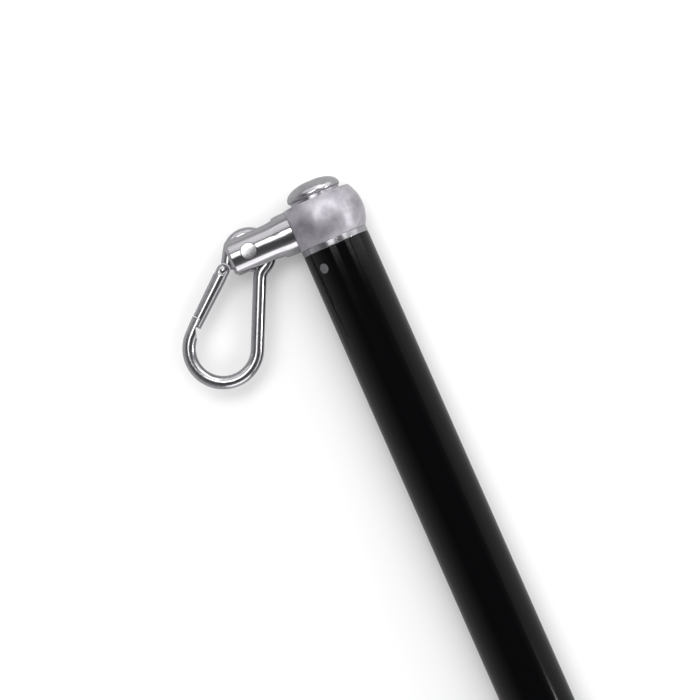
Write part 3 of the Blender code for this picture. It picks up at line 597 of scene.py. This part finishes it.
# Turned black acetal: a slightly waxy, even black with the fine roughness that the turning tool leaves.
acetal, tree = new_finish("turned_black_acetal")
place = add_node(tree, "TexCoord", {})
grain = add_node(
    tree, "TexNoise", {"Vector": place.outputs["Object"], "Scale": 1 / acetal_grain, "Detail": 2.0}
)
turning = add_node(
    tree, "Bump", {"Height": grain.outputs["Fac"], "Distance": acetal_grain_depth, "Strength": 0.5}
)
sheen = add_node(tree, "MapRange", {"Value": grain.outputs["Fac"], "To Min": 0.32, "To Max": 0.45})
shader = add_node(tree, "BsdfPrincipled", {
    "Base Color": linear(acetal_black), "Roughness": sheen.outputs["Result"], "IOR": 1.48,
    "Normal": turning.outputs["Normal"]
})
add_node(tree, "OutputMaterial", {"Surface": shader.outputs["BSDF"]})

for node in ("lower_bush", "upper_bush"):
    refinish(node, acetal)


# Domed cap: a cap nut turned from stainless bar, screwed on the spindle to hold the ball down. It is
# polished, with a fuller shoulder than a plain dome and a narrow neck under its rim.

dome_low, dome_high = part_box("domed_cap")
rim_radius = dome_high.z
dome_height = 0.0085
neck_radius = rim_radius - 0.0010
neck_height = 0.0012
rim_height = 0.0010
rim_slope = 0.0004
rim_undercut = 0.0003
rim_rounding = 0.0002
crown_radius = 0.0045
crown_fullness = 2.2              # 2 would be an ellipse
dome_hole_radius = 0.0043
dome_hole_depth = 0.0058
crown_steps = 32

dome_steel = turned_stainless(
    "turned_stainless_cap", along_pole, head_centre, roughness=0.20, groove_depth=polished_groove
)
shoulder = neck_height + rim_height
crown_angle = math.acos((crown_radius / rim_radius) ** (crown_fullness / 2))
neck_foot = ball_high.x + hairline - dome_low.x
dome_strokes = [
    (dome_hole_depth, 0),
    (dome_hole_depth, dome_hole_radius),
    (0, dome_hole_radius),
    (0, ball_bore_radius),
    (neck_foot, ball_bore_radius),
    (neck_foot, neck_radius),
    (neck_height, neck_radius),
    (neck_height + rim_slope, rim_radius - rim_undercut, rim_rounding),
]
for i in range(crown_steps + 1):
    angle = crown_angle * i / crown_steps
    dome_strokes.append((
        shoulder + (dome_height - shoulder) * math.sin(angle) ** (2 / crown_fullness),
        rim_radius * math.cos(angle) ** (2 / crown_fullness),
    ))
dome_strokes.append((dome_strokes[-1][0], 0))
dome_shape = turn(draw_outline(dome_strokes), ball_sides, Matrix.Translation((dome_low.x, 0, 0)))
add_piece("polished_dome", dome_shape, dome_steel, "pole", "domed_cap")


# Clevis arm: stainless bar turned with a collar and a chamfered end, slotted for the hook's eye, drilled
# for its pin and screwed against the ball's flat. It is polished lengthwise, which leaves long fine
# streaks.

arm_low, arm_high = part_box("clevis_arm")
arm_seat = arm_seat_y + hairline
arm_end = arm_high.y
collar_radius = arm_high.z
arm_radius = 0.0096
collar_length = 0.0030
taper_length = 0.0100
arm_chamfer = 0.0014
arm_edge = 0.00025
stud_radius = 0.0050
stud_edge = 0.0004
taper_steps = 16
bar_steps = 14
wire_radius = 0.0033
wire_diameter = 2 * wire_radius
slot_play = 0.0014
slot_width = wire_diameter + slot_play
slot_edge = 0.00018
slot_cutter_size = 0.06
swing_pin = Vector(joints["hook_swing"]["pos_m"])
slot_below_pin = 0.0157
slot_foot = swing_pin.y - slot_below_pin
seat_left_sharp = 0.001           # the edges this near the seat meet the ball and stay sharp
clevis_pin_radius = 0.0039
pin_bore_length = 0.03
pin_groove = 0.0003               # the hole is opened this much round the ends of the pressed-in pin
pin_groove_foot = 0.0070          # the opened ends start this far from the arm's middle
pin_groove_cut = 0.01

streak_width = 0.0007             # of the polishing streaks, drawn coarser than the real 0.1 mm to show
streak_length = 0.030
streak_depth = 0.0000035
gap_shade_black = "151416"         # painted shade: the arm is coloured near black in the gap round the pin
gap_shade_fade = 0.1               # share of the gap over which the painted shade fades out

# Long-polished stainless bar: mirror-bright across the bar, but every reflection is drawn out lengthwise in
# streaks.
bar_steel, tree = new_finish("long_polished_stainless")
place = add_node(tree, "TexCoord", {})
streak_map = add_node(tree, "Mapping", {
    "Vector": place.outputs["Object"], "Scale": (1 / streak_width, 1 / streak_length, 1 / streak_width)
})
streaks = add_node(tree, "TexNoise", {"Vector": streak_map.outputs["Vector"], "Scale": 1.0, "Detail": 4.0})
grooves = add_node(
    tree, "Bump", {"Height": streaks.outputs["Fac"], "Distance": streak_depth, "Strength": 1.0}
)
tone = add_node(tree, "ValToRGB", {"Fac": streaks.outputs["Fac"]})
tone.color_ramp.elements[0].position = 0.3
tone.color_ramp.elements[0].color = linear(stainless_shade)
tone.color_ramp.elements[1].position = 0.65
tone.color_ramp.elements[1].color = linear(stainless)
dullness = add_node(tree, "MapRange", {"Value": streaks.outputs["Fac"], "To Min": 0.12, "To Max": 0.24})
# Painted shade: the arm's surface in the opened gap round the clevis pin is coloured near black, where
# shade falls.
off_pin = add_node(tree, "VectorMath", {0: place.outputs["Object"], 1: swing_pin}, operation="SUBTRACT")
flat_off_pin = add_node(
    tree, "VectorMath", {0: off_pin.outputs["Vector"], 1: (1, 1, 0)}, operation="MULTIPLY"
)
pin_reach = add_node(tree, "VectorMath", {0: flat_off_pin.outputs["Vector"]}, operation="LENGTH")
gap_shade = add_node(tree, "MapRange", {
    "Value": pin_reach.outputs["Value"],
    "From Min": clevis_pin_radius + (1 - gap_shade_fade) * pin_groove,
    "From Max": clevis_pin_radius + (1 + gap_shade_fade) * pin_groove
})
gap_shaded = add_node(tree, "MixRGB", {
    "Fac": gap_shade.outputs["Result"], "Color1": linear(gap_shade_black), "Color2": tone.outputs["Color"]
})
shader = add_node(tree, "BsdfPrincipled", {
    "Base Color": gap_shaded.outputs["Color"], "Metallic": 1.0, "Roughness": dullness.outputs["Result"],
    "Normal": grooves.outputs["Normal"]
})
add_node(tree, "OutputMaterial", {"Surface": shader.outputs["BSDF"]})

arm_strokes = [
    (arm_low.y, 0),
    (arm_low.y, stud_radius, stud_edge),
    (arm_seat, stud_radius),
    (arm_seat, collar_radius, arm_edge),
]
for i in range(taper_steps + 1):
    share = i / taper_steps
    arm_strokes.append((
        arm_seat + collar_length + taper_length * share,
        collar_radius + (arm_radius - collar_radius) * (1 - math.cos(math.pi * share)) / 2,
    ))
taper_end = arm_seat + collar_length + taper_length
for i in range(1, bar_steps):
    arm_strokes.append((taper_end + (arm_end - arm_chamfer - taper_end) * i / bar_steps, arm_radius))
arm_strokes += [
    (arm_end - arm_chamfer, arm_radius, arm_edge),
    (arm_end, arm_radius - arm_chamfer, arm_edge),
    (arm_end, 0),
]
arm_place = Matrix.Translation((head_centre.x, 0, 0)) @ Matrix.Rotation(math.radians(90), 4, "Z")
arm_shape = turn(draw_outline(arm_strokes), 160, arm_place)
slot_cutter = bmesh.new()
bmesh.ops.create_cube(slot_cutter, size=1.0)
bmesh.ops.scale(
    slot_cutter, vec=(slot_cutter_size, slot_cutter_size, slot_width), verts=slot_cutter.verts
)
slot_middle = Vector((head_centre.x, slot_foot + slot_cutter_size / 2, 0))
bmesh.ops.translate(slot_cutter, vec=slot_middle, verts=slot_cutter.verts)
arm_shape = combine(arm_shape, slot_cutter, "DIFFERENCE")
ease_edges(arm_shape, slot_edge, keep=lambda edge: edge.verts[0].co.y > arm_seat + seat_left_sharp)
pin_bore = rod(clevis_pin_radius + hairline, pin_bore_length, 96, Matrix.Translation(swing_pin))
arm_shape = combine(arm_shape, pin_bore, "DIFFERENCE")
for side in (1, -1):
    groove_middle = Vector((0, 0, side * (pin_groove_foot + pin_groove_cut / 2)))
    groove_place = Matrix.Translation(swing_pin + groove_middle)
    groove = rod(clevis_pin_radius + pin_groove, pin_groove_cut, 96, groove_place)
    arm_shape = combine(arm_shape, groove, "DIFFERENCE")
add_piece("slotted_arm", arm_shape, bar_steel, "head", "clevis_arm")


# Clevis pin: a plain pin of stainless bar, pressed through the arm's two cheeks, which carries the hook by
# its eye. Its ends are faced in the lathe, which leaves fine rings, and their edges are lightly rounded.

clevis_low, clevis_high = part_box("clevis_pin")
clevis_pin_edge = 0.0001
pin_steel = turned_stainless(
    "faced_stainless_pin", Vector((0, 0, 1)), swing_pin, roughness=0.16, groove_depth=faced_groove
)
clevis_outline = draw_outline([
    (clevis_low.z, 0),
    (clevis_low.z, clevis_pin_radius, clevis_pin_edge),
    (clevis_high.z, clevis_pin_radius, clevis_pin_edge),
    (clevis_high.z, 0),
])
upright = Matrix.Translation(swing_pin) @ Matrix.Rotation(math.radians(-90), 4, "Y")
clevis_shape = turn(clevis_outline, 128, upright)
add_piece("faced_clevis_pin", clevis_shape, pin_steel, "head", "clevis_pin")


# Snap hook: stainless wire bent cold round formers into an eye, a waist, a straight spine and a wide bow. A
# bar is welded across the eye, the hinge end is flattened into a tongue, and the nose is notched for the
# gate. It is tumbled bright.

bow_radius = 0.0166
eye_radius = 0.0098
eye_above_bow = 0.0475
spine_lean = math.radians(13.6)
nose_lean = math.radians(8.0)
waist_radius = 0.0080
hinge_end_lean = math.radians(8.0)
hinge_end_above_rivet = 0.0012
eye_bar_radius = 0.0022
eye_bar_below_pin = 0.0070
eye_play = 0.0013
pin_lean_in_eye = math.radians(22.62)
rivet_in_hook = Vector((-0.0102, 0.0364))
rivet_radius = 0.0012
rivet_clearance = 0.0001
rivet_hole_length = 0.02
gate_radius = 0.0035
cheek_clearance = 0.0003
tongue_thickness = 0.0024
tongue_radius = 0.0028
nose_lip_height = 0.0107
nose_step_depth = 0.0042
nose_clearance = 0.0003
lip_share = 0.56
nose_slant = 0.0046
wire_sides = 40
tumbled_off = 0.00004             # what the tumbling takes off the wire
hook_edge = 0.00016
hinge_left_sharp = 0.004          # the edges further than this above the rivet stay sharp

wire_wave = 0.007                 # the slow waviness that bending and tumbling leave
wire_wave_depth = 0.000012
tumble_scratch = 0.0009           # fine random marks of the tumbling media, drawn coarser to show
tumble_scratch_depth = 0.000002

# Tumbled stainless wire: nearly a mirror, with lines of light that run along the wire and waver where it
# was bent.
wire_steel, tree = new_finish("tumbled_bright_stainless")
place = add_node(tree, "TexCoord", {})
wave = add_node(
    tree, "TexNoise", {"Vector": place.outputs["Object"], "Scale": 1 / wire_wave, "Detail": 1.0}
)
waver = add_node(
    tree, "Bump", {"Height": wave.outputs["Fac"], "Distance": wire_wave_depth, "Strength": 1.0}
)
scratches = add_node(
    tree, "TexNoise", {"Vector": place.outputs["Object"], "Scale": 1 / tumble_scratch, "Detail": 3.0}
)
surface = add_node(tree, "Bump", {
    "Height": scratches.outputs["Fac"], "Distance": tumble_scratch_depth, "Strength": 1.0,
    "Normal": waver.outputs["Normal"]
})
tone = add_node(tree, "ValToRGB", {"Fac": scratches.outputs["Fac"]})
tone.color_ramp.elements[0].position = 0.3
tone.color_ramp.elements[0].color = linear(stainless_shade)
tone.color_ramp.elements[1].position = 0.6
tone.color_ramp.elements[1].color = linear(stainless)
dullness = add_node(tree, "MapRange", {"Value": scratches.outputs["Fac"], "To Min": 0.14, "To Max": 0.26})
shader = add_node(tree, "BsdfPrincipled", {
    "Base Color": tone.outputs["Color"], "Metallic": 1.0, "Roughness": dullness.outputs["Result"],
    "Normal": surface.outputs["Normal"]
})
add_node(tree, "OutputMaterial", {"Surface": shader.outputs["BSDF"]})

eye_centre = Vector((0, eye_above_bow))
pin_off_eye = eye_radius - wire_radius - clevis_pin_radius - eye_play
pin_in_hook = eye_centre + pin_off_eye * Vector((-math.sin(pin_lean_in_eye), math.cos(pin_lean_in_eye)))
nose_tangent = bow_radius * Vector((-math.cos(nose_lean), math.sin(nose_lean)))
nose_end = nose_tangent + Vector((math.tan(nose_lean), 1)) * (nose_lip_height - nose_tangent.y)
gate_line = nose_end - rivet_in_hook
gate_rivet_at = Vector(joints["gate_open"]["pos_m"])
rivet_from_pin = rivet_in_hook - pin_in_hook
seen_from_pin = gate_rivet_at - swing_pin
hook_turn = math.atan2(seen_from_pin.y, seen_from_pin.x) - math.atan2(rivet_from_pin.y, rivet_from_pin.x)
hook_place = (
    Matrix.Translation(swing_pin) @ Matrix.Rotation(hook_turn, 4, "Z")
    @ Matrix.Translation((-pin_in_hook.x, -pin_in_hook.y, 0))
)

off_spine = Vector((math.cos(spine_lean), math.sin(spine_lean)))
up_spine = Vector((-off_spine.y, off_spine.x))
waist_across = bow_radius + waist_radius - eye_centre.dot(off_spine)
waist_drop = math.sqrt((eye_radius + waist_radius) ** 2 - waist_across ** 2)
waist_centre = eye_centre + waist_across * off_spine - waist_drop * up_spine
to_waist = waist_centre - eye_centre
waist_start = math.atan2(to_waist.y, to_waist.x)
spine_top = waist_centre - waist_radius * off_spine
spine_foot = bow_radius * off_spine
eye_start = math.pi + hinge_end_lean
eye_left = eye_centre + eye_radius * Vector((math.cos(eye_start), math.sin(eye_start)))
hinge_run = eye_left.y - rivet_in_hook.y - hinge_end_above_rivet
hinge_end = eye_left + Vector((math.tan(hinge_end_lean), -1)) * hinge_run


def run_on(shape, end, step):
    """Draws the wire's open end on in a straight line, and gives the new end."""
    drawn = bmesh.ops.extrude_edge_only(shape, edges=end)["geom"]
    moved = [item for item in drawn if isinstance(item, bmesh.types.BMVert)]
    bmesh.ops.translate(shape, vec=(step.x, step.y, 0), verts=moved)
    return [item for item in drawn if isinstance(item, bmesh.types.BMEdge)]


def bend(shape, end, centre, angle, steps):
    """Bends the wire's open end round a former, and gives the new end."""
    bent = bmesh.ops.spin(
        shape, geom=end, cent=(centre.x, centre.y, 0), axis=(0, 0, 1), angle=angle, steps=steps
    )
    return [item for item in bent["geom_last"] if isinstance(item, bmesh.types.BMEdge)]


def flat_block(outline, thickness):
    """A flat outline of (x, y) points with a thickness, centred on its plane."""
    shape = bmesh.new()
    face = shape.faces.new([shape.verts.new((point.x, point.y, -thickness / 2)) for point in outline])
    raised = bmesh.ops.extrude_face_region(shape, geom=[face])["geom"]
    moved = [item for item in raised if isinstance(item, bmesh.types.BMVert)]
    bmesh.ops.translate(shape, vec=(0, 0, thickness), verts=moved)
    bmesh.ops.recalc_face_normals(shape, faces=shape.faces)
    return shape


hook_shape = bmesh.new()
end_place = (
    Matrix.Translation((hinge_end.x, hinge_end.y, 0)) @ Matrix.Rotation(hinge_end_lean, 4, "Z")
    @ Matrix.Rotation(math.radians(90), 4, "X")
)
bmesh.ops.create_circle(
    hook_shape, cap_ends=False, segments=wire_sides, radius=wire_radius - tumbled_off, matrix=end_place
)
wire_end = run_on(hook_shape, hook_shape.edges[:], eye_left - hinge_end)
wire_end = bend(hook_shape, wire_end, eye_centre, waist_start - eye_start, steps=64)
wire_end = bend(hook_shape, wire_end, waist_centre, spine_lean - waist_start, steps=16)
wire_end = run_on(hook_shape, wire_end, spine_foot - spine_top)
wire_end = bend(hook_shape, wire_end, Vector((0, 0)), -math.pi - spine_lean - nose_lean, steps=80)
wire_end = run_on(hook_shape, wire_end, nose_end - nose_tangent)
bmesh.ops.holes_fill(hook_shape, edges=hook_shape.edges, sides=0)
bmesh.ops.recalc_face_normals(hook_shape, faces=hook_shape.faces)

bar_place = Matrix.Translation((0, pin_in_hook.y - eye_bar_below_pin, 0))
bar_place = bar_place @ Matrix.Rotation(math.radians(90), 4, "Y")
eye_bar = rod(eye_bar_radius, 2 * eye_radius - wire_radius, 40, bar_place)
hook_shape = combine(hook_shape, eye_bar, "UNION")
for side in (1, -1):
    room_height = side * (tongue_thickness / 2 + wire_radius)
    room_place = Matrix.Translation((rivet_in_hook.x, rivet_in_hook.y, room_height))
    cheek_room = rod(gate_radius + cheek_clearance, wire_diameter, 64, room_place)
    hook_shape = combine(hook_shape, cheek_room, "DIFFERENCE")
tongue_place = Matrix.Translation((rivet_in_hook.x, rivet_in_hook.y, 0))
hook_shape = combine(hook_shape, rod(tongue_radius, tongue_thickness, 64, tongue_place), "UNION")
rivet_hole = rod(rivet_radius + rivet_clearance, rivet_hole_length, 40, tongue_place)
hook_shape = combine(hook_shape, rivet_hole, "DIFFERENCE")

up_gate = -gate_line.normalized()
into_hook = Vector((up_gate.y, -up_gate.x))
notch_top = nose_end + into_hook * wire_diameter * (lip_share - 0.5)
notch_foot = notch_top - up_gate * (nose_step_depth + nose_clearance)
notch_inner = notch_foot + into_hook * wire_diameter * (1 - lip_share) - up_gate * nose_slant
notch_outline = [
    notch_top + up_gate * wire_diameter,
    notch_foot,
    notch_inner,
    notch_inner + into_hook * wire_diameter,
    notch_top + up_gate * wire_diameter + into_hook * wire_diameter,
]
hook_shape = combine(hook_shape, flat_block(notch_outline, 2 * wire_diameter), "DIFFERENCE")
hinge_edges_end = rivet_in_hook.y + hinge_left_sharp
ease_edges(hook_shape, hook_edge, keep=lambda edge: edge.verts[0].co.y < hinge_edges_end)
bmesh.ops.transform(hook_shape, matrix=hook_place, verts=hook_shape.verts)
add_piece("bent_wire_hook", hook_shape, wire_steel, "hook", "hook_frame")


# Gate: stainless bar turned with a domed hinge end and a slight taper, slotted for the hook's tongue and
# stepped at its tip to sit behind the nose's lip. A small flat is milled round the rivet on each side.

gate_tip_radius = 0.0030
gate_tip_edge = 0.0003
gate_edge = 0.00015
gate_steps = 20
gate_cutter_size = 0.02
tongue_clearance = 0.0002
gate_slot_half = tongue_thickness / 2 + tongue_clearance
gate_slot_reach = tongue_radius + tongue_clearance
gate_bore_radius = 0.0013
gate_bore_length = 0.0119
bore_overrun = 0.002              # the bore is cut this much longer, so that it opens into the slot
rivet_flat_height = 0.0031
rivet_flat_radius = 0.0026
rivet_flat_cut = 0.004
nose_gap = 0.0002                 # what is left between the gate's step and the end of the lip
gate_length = gate_line.length + nose_step_depth
gate_turn = hook_turn + math.atan2(gate_line.y, gate_line.x)
gate_place = Matrix.Translation(gate_rivet_at) @ Matrix.Rotation(gate_turn, 4, "Z")

gate_strokes = [(-gate_radius, 0), (0, 0, -math.pi / 2, 20, 0)]
for i in range(1, gate_steps):
    radius = gate_radius + (gate_tip_radius - gate_radius) * i / gate_steps
    gate_strokes.append((gate_length * i / gate_steps, radius))
gate_strokes += [(gate_length, gate_tip_radius, gate_tip_edge), (gate_length, 0)]
gate_shape = turn(draw_outline(gate_strokes), steps=96)
gate_slot = bmesh.new()
bmesh.ops.create_cube(gate_slot, size=1.0)
bmesh.ops.scale(
    gate_slot, vec=(gate_cutter_size, gate_cutter_size, 2 * gate_slot_half), verts=gate_slot.verts
)
bmesh.ops.translate(gate_slot, vec=(gate_slot_reach - gate_cutter_size / 2, 0, 0), verts=gate_slot.verts)
gate_shape = combine(gate_shape, gate_slot, "DIFFERENCE")
rivet_hole = rod(rivet_radius + rivet_clearance, rivet_hole_length, 40)
gate_shape = combine(gate_shape, rivet_hole, "DIFFERENCE")
for side in (1, -1):
    flat_place = Matrix.Translation((0, 0, side * (rivet_flat_height + rivet_flat_cut / 2)))
    rivet_flat = rod(rivet_flat_radius, rivet_flat_cut, 64, flat_place)
    gate_shape = combine(gate_shape, rivet_flat, "DIFFERENCE")
bore_place = Matrix.Translation((gate_slot_reach + gate_bore_length / 2 - bore_overrun / 2, 0, 0))
bore_place = bore_place @ Matrix.Rotation(math.radians(90), 4, "Y")
plunger_bore = rod(gate_bore_radius, gate_bore_length + bore_overrun, 32, bore_place)
gate_shape = combine(gate_shape, plunger_bore, "DIFFERENCE")
step_y = -wire_radius + wire_diameter * lip_share + nose_clearance
tip_cutter = bmesh.new()
bmesh.ops.create_cube(tip_cutter, size=gate_cutter_size)
tip_x = gate_line.length - nose_gap + gate_cutter_size / 2
tip_y = step_y - gate_cutter_size / 2
bmesh.ops.translate(tip_cutter, vec=(tip_x, tip_y, 0), verts=tip_cutter.verts)
gate_shape = combine(gate_shape, tip_cutter, "DIFFERENCE")
ease_edges(gate_shape, gate_edge)
bmesh.ops.transform(gate_shape, matrix=gate_place, verts=gate_shape.verts)
add_piece("forked_gate", gate_shape, wire_steel, "gate", "hook_gate")


# Gate rivet: a short length of stainless wire through the gate's fork and the hook's tongue. Its ends are
# peened over to low domes, which hold it in and leave the gate free to turn.

rivet_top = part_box("gate_rivet")[1].z - hairline
rivet_head_radius = 0.0016
rivet_head_play = 0.00002
rivet_head_rise = rivet_top - rivet_flat_height - rivet_head_play
dome_sphere = (rivet_head_radius ** 2 + rivet_head_rise ** 2) / (2 * rivet_head_rise)
dome_angle = math.asin(rivet_head_radius / dome_sphere)
rivet_steel = turned_stainless(
    "peened_stainless_rivet", Vector((0, 0, 1)), gate_rivet_at, roughness=0.14, groove_depth=polished_groove
)
rivet_outline = draw_outline([
    (-rivet_top, 0),
    (dome_sphere - rivet_top, 0, -dome_angle, 10, 0),
    (rivet_head_rise - rivet_top, rivet_radius),
    (rivet_top - rivet_head_rise, rivet_radius),
    (rivet_top - rivet_head_rise, rivet_head_radius),
    (rivet_top - dome_sphere, 0, -dome_angle, 10, 0),
])
rivet_place = Matrix.Translation(gate_rivet_at) @ Matrix.Rotation(math.radians(-90), 4, "Y")
rivet_shape = turn(rivet_outline, 64, rivet_place)
add_piece("peened_rivet", rivet_shape, rivet_steel, "hook", "gate_rivet")


# Plunger and spring: a small turned steel pin and a coil of drawn spring wire in the gate's bore, which
# push it shut. They are out of sight inside the gate, and their CAD shapes stay.

spring_light = "b9b4ac"
spring_dark = "8f8b86"
die_mark = 0.0006                 # scratches of the drawing die, drawn coarser than real to show

# Drawn spring wire: oiled and slightly straw-grey, mottled by the scratches of the drawing die.
spring_wire, tree = new_finish("drawn_spring_wire")
place = add_node(tree, "TexCoord", {})
die = add_node(tree, "TexNoise", {"Vector": place.outputs["Object"], "Scale": 1 / die_mark, "Detail": 3.0})
tone = add_node(tree, "ValToRGB", {"Fac": die.outputs["Fac"]})
tone.color_ramp.elements[0].position = 0.35
tone.color_ramp.elements[0].color = linear(spring_dark)
tone.color_ramp.elements[1].position = 0.65
tone.color_ramp.elements[1].color = linear(spring_light)
dullness = add_node(tree, "MapRange", {"Value": die.outputs["Fac"], "To Min": 0.25, "To Max": 0.4})
shader = add_node(tree, "BsdfPrincipled", {
    "Base Color": tone.outputs["Color"], "Metallic": 1.0, "Roughness": dullness.outputs["Result"]
})
add_node(tree, "OutputMaterial", {"Surface": shader.outputs["BSDF"]})

refinish("gate_plunger", zinc)
refinish("gate_spring", spring_wire)


# Stage: a wide matt pale floor that looks dimmer in polished metal, a surround that is pale to the camera
# and dim to all else, soft boxes with one broad even light, and a camera that looks straight down.

floor_z = cap_low.z
floor_size = 6.0
floor_middle = 0.25
floor_pale = "f4f4f4"
floor_in_reflections = "acacac"
horizon_light = (0.45, 0.45, 0.46, 1)
zenith_light = (0.07, 0.07, 0.072, 1)
zenith_start = 0.80

floor_finish, tree = new_finish("matt_pale_floor")
path = add_node(tree, "LightPath", {})
pale = add_node(tree, "BsdfDiffuse", {"Color": linear(floor_pale)})
dim = add_node(tree, "BsdfDiffuse", {"Color": linear(floor_in_reflections)})
seen = add_node(tree, "MixShader", {
    "Fac": path.outputs["Is Glossy Ray"], 1: pale.outputs["BSDF"], 2: dim.outputs["BSDF"]
})
add_node(tree, "OutputMaterial", {"Surface": seen.outputs["Shader"]})
floor_shape = bmesh.new()
bmesh.ops.create_grid(floor_shape, x_segments=1, y_segments=1, size=floor_size / 2)
bmesh.ops.translate(floor_shape, vec=(floor_middle, 0, floor_z), verts=floor_shape.verts)
floor_mesh = bpy.data.meshes.new("pale_floor")
floor_shape.to_mesh(floor_mesh)
floor_shape.free()
floor_mesh.materials.append(floor_finish)
floor = bpy.data.objects.new("pale_floor", floor_mesh)
bpy.context.scene.collection.objects.link(floor)

surround = bpy.data.worlds.new("dim_surround")
bpy.context.scene.world = surround
surround.use_nodes = True
surround.node_tree.nodes.clear()
sky_place = add_node(surround.node_tree, "TexCoord", {})
sky_parts = add_node(surround.node_tree, "SeparateXYZ", {"Vector": sky_place.outputs["Generated"]})
sky_tone = add_node(surround.node_tree, "ValToRGB", {"Fac": sky_parts.outputs["Z"]})
sky_tone.color_ramp.elements[0].position = 0.0
sky_tone.color_ramp.elements[0].color = horizon_light
sky_tone.color_ramp.elements[1].position = zenith_start
sky_tone.color_ramp.elements[1].color = zenith_light
sky_path = add_node(surround.node_tree, "LightPath", {})
sky_seen = add_node(surround.node_tree, "MixRGB", {
    "Fac": sky_path.outputs["Is Camera Ray"], "Color1": sky_tone.outputs["Color"],
    "Color2": linear(floor_pale)
})
sky_light = add_node(
    surround.node_tree, "Background", {"Color": sky_seen.outputs["Color"], "Strength": 1.0}
)
add_node(surround.node_tree, "OutputWorld", {"Surface": sky_light.outputs["Background"]})


def add_soft_box(name, centre, size, radiance, facing):
    """A rectangular soft light, as bright as it looks in a mirror. The camera doesn't see it."""
    light = bpy.data.lights.new(name, "AREA")
    light.shape = "RECTANGLE"
    light.size, light.size_y = size
    light.energy = radiance * math.pi * light.size * light.size_y
    lamp = bpy.data.objects.new(name, light)
    lamp.location = centre
    lamp.rotation_euler = Vector(facing).to_track_quat("-Z", "Y").to_euler()
    lamp.visible_camera = False
    bpy.context.scene.collection.objects.link(lamp)


add_soft_box("right_pole_box", (-0.20, -1.25, 0.45), (1.34, 0.80), 0.16, (0, 1, 0))
add_soft_box("right_head_box", (1.03, -1.25, 0.55), (1.11, 1.10), 0.85, (0, 1, 0))
add_soft_box("top_strip", (0.735, 0.05, 1.00), (0.30, 0.50), 4.5, (0, 0, -1))
add_soft_box("left_ring_strip", (0.642, 0.25, 1.00), (0.32, 0.40), 2.0, (0, 0, -1))
add_soft_box("right_ring_strip", (0.642, -0.80, 1.00), (0.32, 0.40), 2.0, (0, 0, -1))
add_soft_box("foot_box", (-0.80, 0.05, 0.45), (0.90, 0.70), 1.4, (1, 0, -0.3))
add_soft_box("head_box", (1.45, 0.00, 0.75), (1.60, 0.90), 0.8, (-1, 0, -0.6))
add_soft_box("corner_box", (1.19, -0.76, 0.90), (0.80, 0.80), 1.8, (-0.7, 0.8, -0.9))
add_soft_box("low_corner_box", (-0.45, -0.95, 0.50), (0.90, 0.60), 0.8, (0.9, 1, -0.3))
add_soft_box("key_box", (-0.01, -1.07, 0.53), (0.20, 0.20), 16.0, (0.5, 1, -0.5))

even_light = bpy.data.lights.new("even_light", "SUN")
even_light.energy = 1.7
even_light.angle = math.radians(70)
overhead = bpy.data.objects.new("even_light", even_light)
overhead.visible_glossy = False
bpy.context.scene.collection.objects.link(overhead)

camera_distance = 2.0
view_width = 0.3395
aim_back = 0.0497                 # from the tube's top back along the pole to the middle of the view
aim_side = 0.0145
view_right = Vector((-0.4036455, -0.9149155, 0))

camera_data = bpy.data.cameras.new("camera")
camera_data.lens = camera_data.sensor_width * camera_distance / view_width
camera = bpy.data.objects.new("camera", camera_data)
camera.location = (tube_high.x - aim_back + tube_seat_gap, aim_side, camera_distance)
camera.rotation_euler = (0, 0, math.atan2(view_right.y, view_right.x))
bpy.context.scene.collection.objects.link(camera)
bpy.context.scene.camera = camera
bpy.context.scene.view_settings.view_transform = "Standard"
